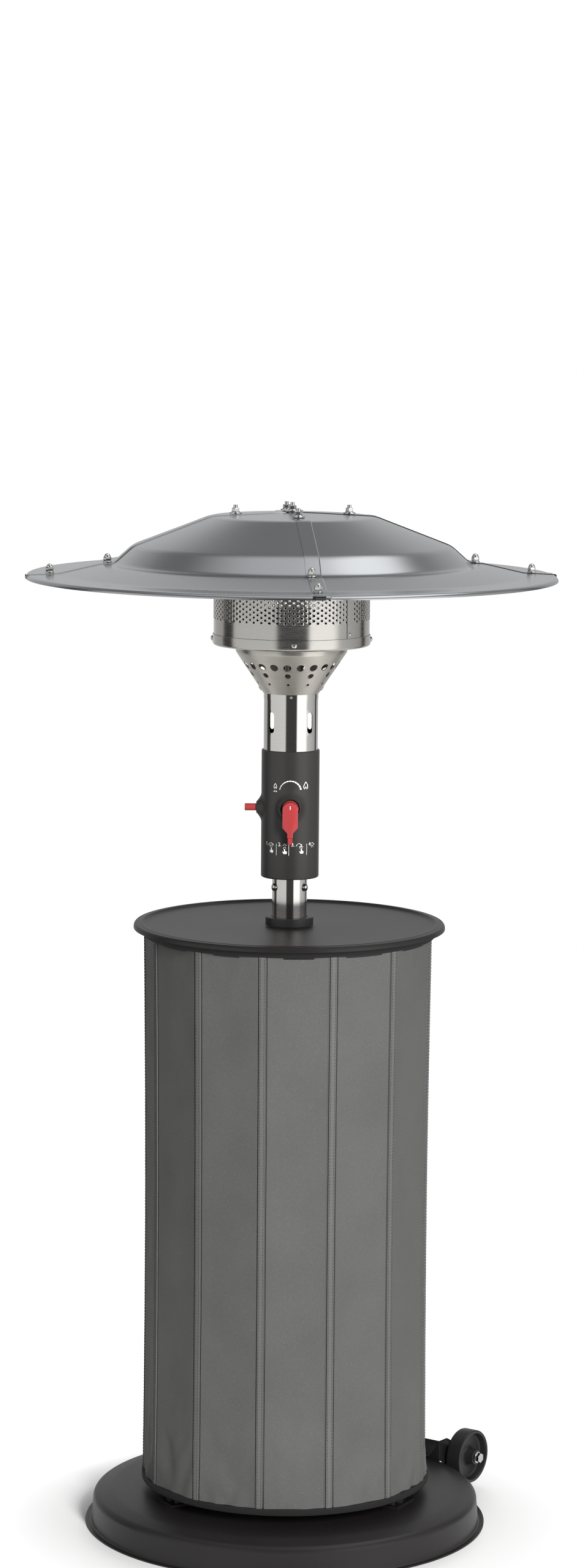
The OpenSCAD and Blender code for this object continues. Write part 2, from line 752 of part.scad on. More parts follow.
// Brass gas valve with its bonnet through the front of the housing
module gas_valve() {
    color("#b08d46") difference() {
        union() {
            translate([-valve_half, -28, knob_z - 18]) cube([2 * valve_half, 40, 36]);
            translate([0, 0, knob_z]) rotate([90, 0, 0]) cylinder(r = bonnet_r, h = bonnet_end);
            translate([0, 0, knob_z]) rotate([90, 0, 0])
                cylinder(r = 13, h = sqrt(pow(housing_in_r, 2) - 169) - clear);
        }
        translate([0, 0, knob_z]) rotate([90, 0, 0]) cylinder(r = spindle_r + fit_gap, h = boss_face);
    }
}

// Inlet nipple for the hose, under the valve and above the mast
module gas_inlet() {
    foot = knob_z - 18;
    color("#b08d46") union() {
        translate([0, 0, foot - 8]) cylinder(r = 19 / sqrt(3), h = 8, $fn = 6);
        translate([0, 0, foot - 24]) cylinder(r = 6.58, h = 17);
    }
}

// Pipe from the valve up to the injector
module gas_pipe() {
    foot = knob_z + 18;
    color("#c9a765") difference() {
        union() {
            translate([0, 0, foot]) cylinder(r = 12 / sqrt(3), h = 7, $fn = 6);
            translate([0, 0, foot]) cylinder(r = 4, h = slot_z - 16 - foot);
        }
        translate([0, 0, foot + past]) cylinder(r = 2.6, h = slot_z - foot);
    }
}

// Brass injector on the end of the pipe, with its jet
module injector() {
    color("#b08d46") translate([0, 0, slot_z - 16]) difference() {
        union() {
            cylinder(r = 14 / sqrt(3), h = 8, $fn = 6);
            cylinder(r = 5, h = 13);
        }
        translate([0, 0, -past]) cylinder(r = 3, h = 10);
        cylinder(r = 0.9, h = 14, $fn = 16);
    }
}

// Flared tube that mixes gas and air and leads to the burner head
module mixing_tube() {
    path = [
        [mix_r + 6, slot_z + 2], [mix_r + 1.5, slot_z + 7], [mix_r, slot_z + 14],
        [mix_r, pan_z + pan_t + 14]
    ];
    color("#c2c4c6") union() {
        turned_sheet(path, 1);
        ring(mix_r - 0.5, mix_r + 11, pan_z + pan_t + seat, pan_z + pan_t + seat + 1.5);
    }
}

// Thermocouple in its clip on the burner pan
module thermocouple() {
    color("#b9bbbd") translate([0, -64, pan_z + pan_t]) union() {
        translate([0, 0, -14]) cylinder(r = 1.6, h = 52, $fn = 24);
        translate([0, 0, seat]) cylinder(r = 4.5, h = 5, $fn = 6);
    }
}

// Spark electrode: a rod in a ceramic sleeve
module spark_electrode() {
    color("#e8e4dc") translate([18, -64, pan_z + pan_t]) union() {
        translate([0, 0, -14]) cylinder(r = 1.2, h = 46, $fn = 24);
        translate([0, 0, seat]) cylinder(r = 3.5, h = 16, $fn = 24);
    }
}

// Piezo igniter behind the button
module piezo_unit() {
    start = valve_half + seat;
    color("#2b2b30") translate([0, 0, button_z]) rotate([0, -90, 0]) union() {
        translate([0, 0, start]) cylinder(r = 8, h = 20);
        translate([0, 0, start]) cylinder(r = 3, h = side_boss_x - 12 - start);
    }
}

// Spindle of the valve, which the knob slides on
module valve_spindle() {
    color("#b08d46") translate([0, 0, knob_z]) rotate([90, 0, 0])
        translate([0, 0, 6]) cylinder(r = spindle_r, h = boss_face + 13 - 6);
}

// Lever knob: round head, bevelled bar and stepped tip on a hub with a blind bore
module lever_knob() {
    r = lever_w / 2;
    neck = 4.2;
    outline = concat(
        arc([0, 0], r, 0, 180, 16),
        [[-r, 24 - lever_drop], [-neck, 14 - lever_drop], [-neck, 10 - lever_drop],
         [-neck + 0.8, 9 - lever_drop], [-neck + 0.8, -lever_drop], [neck - 0.8, -lever_drop],
         [neck - 0.8, 9 - lever_drop], [neck, 10 - lever_drop], [neck, 14 - lever_drop],
         [r, 24 - lever_drop]]
    );
    bevel = 2.6;
    face = lever_back + lever_t;
    color("#b3201c") translate([0, 0, knob_z]) rotate([90, 0, 0]) difference() {
        union() {
            translate([0, 0, lever_back]) linear_extrude(lever_t - bevel) polygon(outline);
            hull() {
                translate([0, 0, face - bevel - 0.01]) linear_extrude(0.01) polygon(outline);
                translate([0, 0.6, face - 0.01]) linear_extrude(0.01)
                    polygon([for (p = outline) [p[0] * (r - bevel) / r, p[1] * (r - bevel) / r]]);
            }
            translate([0, 0, boss_face - 1.4]) cylinder(r = well_r - 1.5, h = lever_back - boss_face + 1.4);
        }
        cylinder(r = spindle_r + fit_gap, h = boss_face + 13 + knob_press + 0.6);
    }
}

// Red button with a collar inside the boss that keeps it in
module igniter_button() {
    inner = side_boss_x - 5 - clear;
    color("#b3201c") translate([0, 0, button_z]) rotate([0, -90, 0]) rotate_extrude($fn = 64) polygon([
        [0, inner - 1.5], [button_r + 1.4, inner - 1.5], [button_r + 1.4, inner], [button_r, inner],
        [button_r, side_boss_x + button_out - 1.5], [button_r - 1.5, side_boss_x + button_out],
        [0, side_boss_x + button_out]
    ]);
}

// Outer radius of the cone at a height above its foot
function cone_radius(h) = neck_r + (h - 8) * tan(cone_tilt);

// A row of round holes square to the cone wall
module cone_holes(h, r, count, offset) {
    for (k = [0:count - 1]) rotate([0, 0, 360 / count * (k + offset) - 90])
        translate([cone_radius(h), 0, cone_z + h]) rotate([0, 90 + cone_tilt, 0])
            translate([0, 0, -6]) cylinder(r = r, h = 12);
}

module burner_cone() {
    top = cone_z + cone_h;
    path = [
        [cone_top_r - 9, top], [cone_top_r - 1.2, top], [cone_top_r, top - 1.2],
        [cone_top_r, top - 9], [neck_r, cone_z + 8], [neck_r, cone_z]
    ];
    color("#a9abad") difference() {
        turned_sheet(path, -cone_t);
        cone_holes(cone_h - 27.5, 5.5, 20, 0);
        cone_holes(cone_h - 40, 4, 10, 0.25);
        cone_holes(cone_h - 53.3, 2.3, 10, 0.25);
        for (a = [0, 180]) rotate([0, 0, a]) translate([0, 0, cone_z + 14])
            rotate([0, 90, 0]) cylinder(r = 2.1, h = neck_r + 20);
        rotate([0, 0, -90]) translate([0, 0, cone_z + 4.4])
            rotate([0, 90, 0]) cylinder(r = 1.8, h = neck_r + past);
        for (a = [30:120:270]) rotate([0, 0, a])
            translate([cone_top_r - 5, 0, top - 4]) cylinder(r = 1.8, h = 6);
    }
}

// Screws at the sides of the cone, its front rivet and the three screws up into the pan
module cone_screws() {
    side = cone_radius(14);
    color("#c4c6c8") {
        for (a = [0, 180]) rotate([0, 0, a]) translate([0, 0, cone_z + 14]) rotate([0, 90, 0]) union() {
            translate([0, 0, side - 5]) cylinder(r = 1.95, h = 8);
            translate([0, 0, side + 2.4]) cylinder(r = 3.6, h = 2.2);
        }
        rotate([0, 0, -90]) translate([0, 0, cone_z + 4.4]) rotate([0, 90, 0]) union() {
            translate([0, 0, neck_r - cone_t - 0.2]) cylinder(r = 1.7, h = 2);
            translate([0, 0, neck_r + 0.25]) cylinder(r = 3, h = 1.1);
        }
        for (a = [30:120:270]) rotate([0, 0, a]) translate([cone_top_r - 5, 0, pan_z]) union() {
            translate([0, 0, -cone_t - clear - 0.1 - 2]) cylinder(r = 3.2, h = 2);
            translate([0, 0, -cone_t - clear - 1]) cylinder(r = 1.7, h = cone_t + pan_t + 6);
        }
    }
}

// Angles of the four screws in the rim of the pan
band_turns = [-88, 0, 90, 180];

module burner_pan() {
    path = concat(
        [[mix_r + clear, pan_z]],
        arc([pan_r - 4, pan_z + 4], 4, -90, 0, 4),
        [[pan_r, pan_z + pan_rim_h]]
    );
    color("#9fa1a3") difference() {
        turned_sheet(path, pan_t);
        for (a = band_turns) rotate([0, 0, a]) translate([0, 0, pan_z + 8.7])
            rotate([0, 90, 0]) cylinder(r = 2.1, h = pan_r + past);
        for (a = [30:120:270]) rotate([0, 0, a])
            translate([cone_top_r - 5, 0, pan_z - past]) cylinder(r = 1.8, h = 6);
        translate([0, -64, pan_z - past]) cylinder(r = 1.8, h = 6);
        translate([18, -64, pan_z - past]) cylinder(r = 1.4, h = 6);
    }
}

// Cross head screws through the rim of the pan and the screen, with their nuts inside
module band_screws() {
    inner = screen_r - screen_t;
    color("#c4c6c8") for (a = band_turns) rotate([0, 0, a]) translate([0, 0, pan_z + 8.7])
        rotate([0, 90, 0]) {
            union() {
                translate([0, 0, inner - 6]) cylinder(r = 1.95, h = pan_r - inner + 7);
                translate([0, 0, pan_r + 0.1]) rotate_extrude()
                    polygon([[0, 0], [4, 0], [4, 0.8], [3.4, 2], [2, 2.6], [0, 2.7]]);
            }
            translate([0, 0, inner - 4]) difference() {
                cylinder(r = 7 / sqrt(3), h = 3, $fn = 6);
                translate([0, 0, -past]) cylinder(r = 1.98, h = 5);
            }
        }
}

// Closed drum on the mixing tube with a ring of flame ports
module burner_head() {
    foot = pan_z + pan_t + 14.2;
    flat = drum_r - 8;
    path = [
        [mix_r - 2, foot], [flat, foot], [drum_r, foot + 8], [drum_r, foot + drum_h - 8],
        [flat, foot + drum_h], [past, foot + drum_h]
    ];
    color("#8d8f91") difference() {
        turned_sheet(path, 1);
        for (k = [0:23]) rotate([0, 0, 15 * k]) translate([flat, 0, foot + drum_h / 2])
            rotate([0, 90, 0]) cylinder(r = 2.5, h = 10);
    }
}

// Perforated screen with its overlap strip
module emitter_screen() {
    first = 36;
    pitch = (screen_h - first - 15) / (screen_rows - 1);
    turn = 360 / screen_columns;
    strip_foot = pan_z + pan_rim_h + 0.5;
    color("#a4a6a8") difference() {
        union() {
            ring(screen_r - screen_t, screen_r, screen_z, lid_z - 0.2);
            rotate([0, 0, -45.5]) rotate_extrude(angle = 6)
                translate([screen_r - 0.1, strip_foot]) square([0.8, lid_z - 9 - strip_foot]);
        }
        for (row = [0:screen_rows - 1]) for (k = [0:screen_columns - 1])
            rotate([0, 0, turn * (k + 0.5 * (row % 2))])
                translate([screen_r - screen_t - past, 0, screen_z + first + pitch * row])
                    rotate([0, 90, 0]) cylinder(r = screen_hole_r, h = screen_t + 1 + 2 * past);
        for (a = band_turns) rotate([0, 0, a]) translate([screen_r - screen_t - past, 0, pan_z + 8.7])
            rotate([0, 90, 0]) cylinder(r = 2.1, h = screen_t + 2 * past);
    }
}

// Rivets on the overlap strip of the screen
module screen_rivets() {
    color("#c4c6c8") for (h = [18, screen_h - 13]) rotate([0, 0, -42.5])
        translate([screen_r + 0.75, 0, screen_z + h]) rotate([0, 90, 0]) rotate_extrude()
            polygon([[0, 0], [2.6, 0], [2.3, 0.7], [1.2, 1.1], [0, 1.2]]);
}

module screen_lid() {
    edge = screen_r + lid_t + seat;
    path = [
        [stud_r + clear, lid_z + lid_t], [edge - 0.5, lid_z + lid_t],
        [edge, lid_z + lid_t - 0.5], [edge, lid_z - 8]
    ];
    color("#9fa1a3") difference() {
        turned_sheet(path, -lid_t);
        at_seams() translate([stud_circle_r, 0, lid_z - past])
            cylinder(r = stud_r + clear, h = lid_t + 2 * past);
    }
}

// Top line of the hood from its middle to the step and the rolled brim
hood_line = [
    [9, apex_z], [118, apex_z - 5.8], [step_r - 28, apex_z - 48.5], [step_r, brim_z + 22],
    [step_r + 19, brim_z + 21.5], [hood_r - 45.5, brim_z + 7.5], [hood_r - 6, brim_z + 6]
];
hood_path = concat(rounded(hood_line, 3), arc([hood_r - 6, brim_z], 6, 72, 0, 4));

// Height of the hood sheet at a radius
function hood_z(r) = lookup(r, hood_line);

// Half space slab used to trim a hood sheet
module slab(x1, x2, y1, y2) {
    translate([x1, y1, brim_z - 20]) cube([x2 - x1, y2 - y1, hood_h + 40]);
}

// Quarter sheet: flat at its first seam and raised over its neighbour at its last seam
module hood_panel(turn) {
    half = lap_w / 2;
    step = 1.4;
    under = back(beside(hood_path, -hood_t));
    over = moved(hood_path, [joggle, joggle]);
    color("#aeb0b2") rotate([0, 0, turn]) difference() {
        union() {
            intersection() {
                rotate([0, 0, -60]) rotate_extrude(angle = 160, $fn = 96) polygon(concat(hood_path, under));
                slab(half, hood_r + 9, 0.2 - half, hood_r + 9);
            }
            intersection() {
                rotate([0, 0, 20]) rotate_extrude(angle = 140, $fn = 96) polygon(concat(over, under));
                slab(half, half + step, half + 0.5, hood_r + 9);
            }
            intersection() {
                rotate([0, 0, 20]) rotate_extrude(angle = 140, $fn = 96)
                    polygon(concat(over, back(beside(over, -hood_t))));
                slab(-half, half + step / 2, half + 0.5, hood_r + 9);
            }
        }
        for (r = [stud_circle_r, nut_inner_r, nut_outer_r]) {
            translate([r, 0, brim_z - 20]) cylinder(r = stud_r + clear, h = hood_h + 40);
            translate([0, r, brim_z - 20]) cylinder(r = stud_r + clear, h = hood_h + 40);
        }
    }
}

module hood_panel_1() hood_panel(lap_turns[0]);
module hood_panel_2() hood_panel(lap_turns[1]);
module hood_panel_3() hood_panel(lap_turns[2]);
module hood_panel_4() hood_panel(lap_turns[3]);

// Copies at the middle stud and the four studs on the seams; the child gets its radius in $at
module at_studs() {
    $at = 0;
    children();
    at_seams() translate([stud_circle_r, 0, 0]) {
        $at = stud_circle_r;
        children();
    }
}

// Height at which the washers lie over a stud or a bolt
function washer_z(r) = hood_z(max(r, 9)) + joggle + 0.65;
function washer_t(r) = r == 0 ? 1.2 : 1.6;

module hood_studs() {
    color("#b9bbbd") at_studs() union() {
        translate([0, 0, lid_z - 4]) cylinder(r = stud_r, h = washer_z($at) + 12.5 - lid_z + 4);
        translate([0, 0, lid_z - 4 - seat]) cylinder(r = hex_r, h = 4, $fn = 6);
    }
}

// Tubes that hold the hood above the lid of the screen
module hood_spacers() {
    color("#b9bbbd") at_studs() translate([0, 0, lid_z + lid_t]) difference() {
        h = hood_z(max($at, 9)) - hood_t - 0.5 - lid_z - lid_t;
        cylinder(r = stud_r + 3, h = h);
        translate([0, 0, -past]) cylinder(r = stud_r + clear, h = h + 2 * past);
    }
}

// Washers under the nuts on top and under the cap nuts
module hood_washers() {
    color("#c4c6c8") {
        at_studs() translate([0, 0, washer_z($at)]) difference() {
            union() {
                cylinder(r = $at == 0 ? 15 : 9, h = washer_t($at));
                cylinder(r = 6.2, h = washer_t($at) + 1.5);
            }
            translate([0, 0, -past]) cylinder(r = stud_r + 0.2, h = 6);
        }
        at_seams() for (r = [nut_inner_r, nut_outer_r]) translate([r, 0, washer_z(r)]) difference() {
            cylinder(r = 2.2 * stud_r, h = 1.4);
            translate([0, 0, -past]) cylinder(r = bolt_r + 0.2, h = 4);
        }
    }
}

module hood_nuts() {
    color("#c4c6c8") at_studs()
        translate([0, 0, washer_z($at) + washer_t($at) + 1.5 + seat]) difference() {
            cylinder(r = hex_r, h = 5, $fn = 6);
            translate([0, 0, -past]) cylinder(r = stud_r + 0.03, h = 5 + 2 * past);
        }
}

// Button headed bolts from below through the seams near the brim
module seam_bolts() {
    color("#b9bbbd") at_seams() for (r = [nut_inner_r, nut_outer_r]) union() {
        translate([r, 0, hood_z(r) - hood_t - stud_r - 0.4]) cylinder(r = 1.75 * stud_r, h = stud_r);
        translate([r, 0, hood_z(r) - hood_t - 1]) cylinder(r = bolt_r, h = washer_z(r) - hood_z(r) + 10);
    }
}

module cap_nuts() {
    color("#d4d6d8") at_seams() for (r = [nut_inner_r, nut_outer_r])
        translate([r, 0, washer_z(r) + 1.4 + seat]) difference() {
            union() {
                cylinder(r = hex_r, h = 2.1 * stud_r, $fn = 6);
                translate([0, 0, 2.1 * stud_r]) sphere(r = 1.6 * stud_r);
            }
            translate([0, 0, -past]) cylinder(r = bolt_r + 0.03, h = 3.3 * stud_r);
        }
}

base_pan();
mast_stop();
support_posts();
post_foot_bolts();
spider_plate();
post_top_bolts();
mast_guide();
table_top();
table_nuts();
mast_collar();
sleeve();
sleeve_band();
sleeve_hem();
hem_wire();
wheel_bracket();
bracket_bolts();
axle_bolts();
axle_washers();
axle_nuts();
clamp_screw();
wheel_left();
wheel_right();
mast_tube();
mast_foot_plug();
mast_bolts();
control_housing();
head_tube();
housing_screws();
gas_valve();
gas_inlet();
gas_pipe();
injector();
mixing_tube();
thermocouple();
spark_electrode();
piezo_unit();
burner_cone();
cone_screws();
burner_pan();
band_screws();
burner_head();
emitter_screen();
screen_rivets();
screen_lid();
hood_studs();
hood_spacers();
hood_panel_1();
hood_panel_2();
hood_panel_3();
hood_panel_4();
seam_bolts();
cap_nuts();
hood_washers();
hood_nuts();
valve_spindle();
lever_knob();
igniter_button();
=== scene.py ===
"""Garden patio heater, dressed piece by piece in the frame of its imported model.

Sizes are in millimetres in the classes and become metres where a mesh is made. The mast axis is
the Z axis, the floor is z = 0 and the front of the heater looks along -Y.
"""

import logging
import math
from collections.abc import Callable, Sequence
from dataclasses import dataclass, field
from enum import Enum

import bmesh
import bpy
from mathutils import Matrix, Vector, noise


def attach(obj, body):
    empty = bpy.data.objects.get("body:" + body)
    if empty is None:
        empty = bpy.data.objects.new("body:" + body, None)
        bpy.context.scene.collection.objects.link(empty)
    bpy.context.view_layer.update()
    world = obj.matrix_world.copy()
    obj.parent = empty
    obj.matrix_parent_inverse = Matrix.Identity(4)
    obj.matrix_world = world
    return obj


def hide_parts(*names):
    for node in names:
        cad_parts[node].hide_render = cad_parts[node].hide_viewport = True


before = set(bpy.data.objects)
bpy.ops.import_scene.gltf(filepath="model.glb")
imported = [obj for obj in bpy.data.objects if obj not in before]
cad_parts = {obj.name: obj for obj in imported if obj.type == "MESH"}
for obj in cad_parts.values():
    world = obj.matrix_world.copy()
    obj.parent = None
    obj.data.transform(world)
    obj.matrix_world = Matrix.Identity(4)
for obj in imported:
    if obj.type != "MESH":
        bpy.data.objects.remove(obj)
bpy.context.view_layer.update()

log = logging.getLogger("patio_heater")

Point2 = tuple[float, float]
Point3 = tuple[float, float, float]
Tree = bpy.types.NodeTree
Node = bpy.types.Node
Socket = bpy.types.NodeSocket
Mesh = bpy.types.Mesh

MM = 0.001
TURN = math.tau
SEGMENTS = 160
BROAD_SEGMENTS, SMOOTH_SEGMENTS, BORE_SEGMENTS = 224, 192, 20
FRONT = -90.0
WHITE = (1, 1, 1, 1)
CLOSE, FINE, FINEST = 0.002, 0.0005, 0.0001
NOISE_SPAN = {"From Min": 0.3, "From Max": 0.7}


def linear(code: str) -> tuple[float, float, float, float]:
    """Turns an sRGB hex colour such as "#8c8c8c" into Blender's linear colour.

    Args:
        code: The colour's code.

    Returns:
        Red, green, blue and alpha.
    """
    parts = [int(code[i : i + 2], 16) / 255 for i in (1, 3, 5)]
    shares = [p / 12.92 if p <= 0.04045 else ((p + 0.055) / 1.055) ** 2.4 for p in parts]
    return shares[0], shares[1], shares[2], 1.0


def add_node(
    tree: Tree, kind: str, settings: dict[str, object] | None = None,
    inputs: dict[str | int, object] | None = None,
) -> Node:
    """Adds a node with its settings and its inputs.

    Args:
        tree: The tree that gets the node.
        kind: Blender's type name of the node.
        settings: The node's attributes and their values.
        inputs: The node's inputs, by name or place, each with a value or the output it comes from.

    Returns:
        The new node.
    """
    node = tree.nodes.new(kind)
    for name, value in (settings or {}).items():
        setattr(node, name, value)
    for key, value in (inputs or {}).items():
        if isinstance(value, Socket):
            tree.links.new(value, node.inputs[key])
        else:
            node.inputs[key].default_value = value
    return node


class Grain(Enum):
    """The way the lines of a brushed or drawn surface run."""

    AROUND = (30.0, 30.0, 1400.0)
    NONE = (400.0, 400.0, 400.0)


@dataclass(frozen=True)
class Finish:
    """A surface finish: its colour and how it throws light back.

    Each name has one material.
    """

    name: str
    colour: str
    roughness: float
    metallic: float = 0.0
    ior: float = 1.5

    def material(self) -> bpy.types.Material:
        """Builds the finish's material once and returns it.

        Returns:
            The material.
        """
        known = bpy.data.materials.get(self.name)
        if known:
            return known
        made = bpy.data.materials.new(self.name)
        made.use_nodes = True
        made.diffuse_color = linear(self.colour)
        tree = made.node_tree
        shader = tree.nodes["Principled BSDF"]
        shader.inputs["Base Color"].default_value = linear(self.colour)
        shader.inputs["Metallic"].default_value = self.metallic
        shader.inputs["Roughness"].default_value = self.roughness
        if not self.metallic:
            shader.inputs["IOR"].default_value = self.ior
        place = add_node(tree, "ShaderNodeTexCoord").outputs["Object"]
        self.detail(tree, shader, place)
        return made

    def detail(self, tree: Tree, shader: Node, place: Socket) -> None:
        """Adds the finish's own texture to its shader.

        Args:
            tree: The material's node tree.
            shader: Its Principled BSDF.
            place: The Object coordinates, in metres.
        """

    def grained(
        self, tree: Tree, shader: Node, place: Socket, scale: Point3, depth: float, spread: float,
    ) -> Socket:
        """Adds a noise of the given scale to the shader's normal and roughness.

        Args:
            tree: The material's node tree.
            shader: Its Principled BSDF.
            place: The Object coordinates, in metres.
            scale: Waves of the noise in a metre, along X, Y and Z.
            depth: Height of the grain in metres.
            spread: How far the roughness moves up and down.

        Returns:
            The noise, from 0 to 1.
        """
        stretched = add_node(
            tree, "ShaderNodeMapping", inputs={"Vector": place, "Scale": scale}
        ).outputs[0]
        grain = add_node(
            tree, "ShaderNodeTexNoise",
            inputs={"Vector": stretched, "Scale": 1.0, "Detail": 3.0, "Roughness": 0.6},
        ).outputs["Fac"]
        if depth:
            bump = add_node(
                tree, "ShaderNodeBump",
                inputs={"Height": grain, "Distance": depth, "Strength": 1.0},
            )
            tree.links.new(bump.outputs["Normal"], shader.inputs["Normal"])
        if spread:
            rough = add_node(
                tree, "ShaderNodeMapRange",
                inputs={
                    "Value": grain, **NOISE_SPAN, "To Min": self.roughness - spread,
                    "To Max": self.roughness + spread,
                },
            )
            tree.links.new(rough.outputs[0], shader.inputs["Roughness"])
        return grain


@dataclass(frozen=True)
class Enamel(Finish):
    """Baked enamel or powder coat: the eye sees a soft orange peel in its highlights."""

    peel_mm: float = 1.6
    depth_mm: float = 0.012
    spread: float = 0.04

    def detail(self, tree: Tree, shader: Node, place: Socket) -> None:
        """Adds the orange peel."""
        waves = 1 / (self.peel_mm * MM)
        self.grained(tree, shader, place, (waves,) * 3, self.depth_mm * MM, self.spread)


@dataclass(frozen=True)
class Steel(Finish):
    """Stainless, zinc plated or aluminium sheet: the grain gives its highlights fine lines."""

    metallic: float = 1.0
    grain: Grain = Grain.AROUND
    depth_mm: float = 0.004
    spread: float = 0.05
    streak: float = 0.06
    stretch: float = 0.0
    stretch_turn: float = 0.25

    def detail(self, tree: Tree, shader: Node, place: Socket) -> None:
        """Adds the brushed lines to the shine and faintly to the colour.

        Args:
            tree: The material's node tree.
            shader: Its Principled BSDF.
            place: The Object coordinates, in metres.
        """
        shader.inputs["Anisotropic"].default_value = self.stretch
        shader.inputs["Anisotropic Rotation"].default_value = self.stretch_turn
        lines = self.grained(tree, shader, place, self.grain.value, self.depth_mm * MM, self.spread)
        shade = add_node(
            tree, "ShaderNodeMapRange",
            inputs={"Value": lines, **NOISE_SPAN, "To Min": 1 - self.streak, "To Max": 1.0},
        ).outputs[0]
        mixed = add_node(
            tree, "ShaderNodeMix", {"data_type": "RGBA", "blend_type": "MULTIPLY"},
            {0: 1.0, 6: linear(self.colour), 7: shade},
        )
        tree.links.new(mixed.outputs[2], shader.inputs["Base Color"])


@dataclass(frozen=True)
class Moulded(Finish):
    """Moulded plastic or rubber: the mould leaves a fine even texture."""

    grit_mm: float = 0.5
    depth_mm: float = 0.01
    spread: float = 0.03
    coat: float = 0.0
    coat_roughness: float = 0.2

    def detail(self, tree: Tree, shader: Node, place: Socket) -> None:
        """Adds the mould's texture.

        Args:
            tree: The material's node tree.
            shader: Its Principled BSDF.
            place: The Object coordinates, in metres.
        """
        shader.inputs["Coat Weight"].default_value = self.coat
        shader.inputs["Coat Roughness"].default_value = self.coat_roughness
        waves = 1 / (self.grit_mm * MM)
        self.grained(tree, shader, place, (waves,) * 3, self.depth_mm * MM, self.spread)


@dataclass(frozen=True)
class Cloth(Finish):
    """Coated woven polyester: threads crossing each other, with the sparks of light on its coating
    painted into its colour as glints.

    The real threads lie 0.5 mm apart, too fine for the render, so they are drawn 1.6 mm apart.
    The weave follows the cloth's own UV map, which is in metres.
    """

    thread_mm: float = 1.6
    depth_mm: float = 0.1
    depth_share: float = 0.6
    sheen: float = 0.05
    sheen_roughness: float = 0.4
    glint_colour: str = "#7f8180"
    glint_share: float = 0.45
    spark_waves: float = 900.0
    spark_span: Point2 = (0.55, 0.75)
    tone_waves: float = 9.0
    tone_span: Point2 = (0.93, 1.05)

    def detail(self, tree: Tree, shader: Node, place: Socket) -> None:
        """Adds the weave, the painted glints and a slow change of tone.

        Args:
            tree: The material's node tree.
            shader: Its Principled BSDF.
            place: The Object coordinates, in metres.
        """
        shader.inputs["Sheen Weight"].default_value = self.sheen
        shader.inputs["Sheen Roughness"].default_value = self.sheen_roughness
        flat = add_node(tree, "ShaderNodeUVMap", {"uv_map": "cloth"}).outputs[0]
        scale = 1 / (self.thread_mm * MM)
        threads = [
            add_node(
                tree, "ShaderNodeTexWave",
                {"wave_type": "BANDS", "bands_direction": way, "wave_profile": "SIN"},
                {"Vector": flat, "Scale": scale / 2, "Distortion": 0.4, "Detail": 1.0},
            ).outputs["Fac"]
            for way in ("X", "Y")
        ]
        weave = add_node(
            tree, "ShaderNodeMath", {"operation": "MULTIPLY"}, {0: threads[0], 1: threads[1]}
        ).outputs[0]
        bump = add_node(
            tree, "ShaderNodeBump",
            inputs={"Height": weave, "Distance": self.depth_mm * MM, "Strength": self.depth_share},
        )
        tree.links.new(bump.outputs["Normal"], shader.inputs["Normal"])
        # Painted glints: a fine noise lifts the colour towards a pale grey, for the sparks of light
        # on the coating.
        sparks = add_node(
            tree, "ShaderNodeTexNoise",
            inputs={"Vector": place, "Scale": self.spark_waves, "Detail": 2.0, "Roughness": 0.8},
        ).outputs["Fac"]
        lift = add_node(
            tree, "ShaderNodeMapRange",
            inputs={
                "Value": sparks, "From Min": self.spark_span[0], "From Max": self.spark_span[1],
                "To Max": self.glint_share,
            },
        ).outputs[0]
        colour = add_node(
            tree, "ShaderNodeMix", {"data_type": "RGBA"},
            {0: lift, 6: linear(self.colour), 7: linear(self.glint_colour)},
        ).outputs[2]
        tone = add_node(
            tree, "ShaderNodeTexNoise",
            inputs={"Vector": place, "Scale": self.tone_waves, "Detail": 2.0},
        ).outputs["Fac"]
        shade = add_node(
            tree, "ShaderNodeMapRange",
            inputs={
                "Value": tone, **NOISE_SPAN, "To Min": self.tone_span[0],
                "To Max": self.tone_span[1],
            },
        ).outputs[0]
        toned = add_node(
            tree, "ShaderNodeMix", {"data_type": "RGBA", "blend_type": "MULTIPLY"},
            {0: 1.0, 6: colour, 7: shade},
        ).outputs[2]
        tree.links.new(toned, shader.inputs["Base Color"])


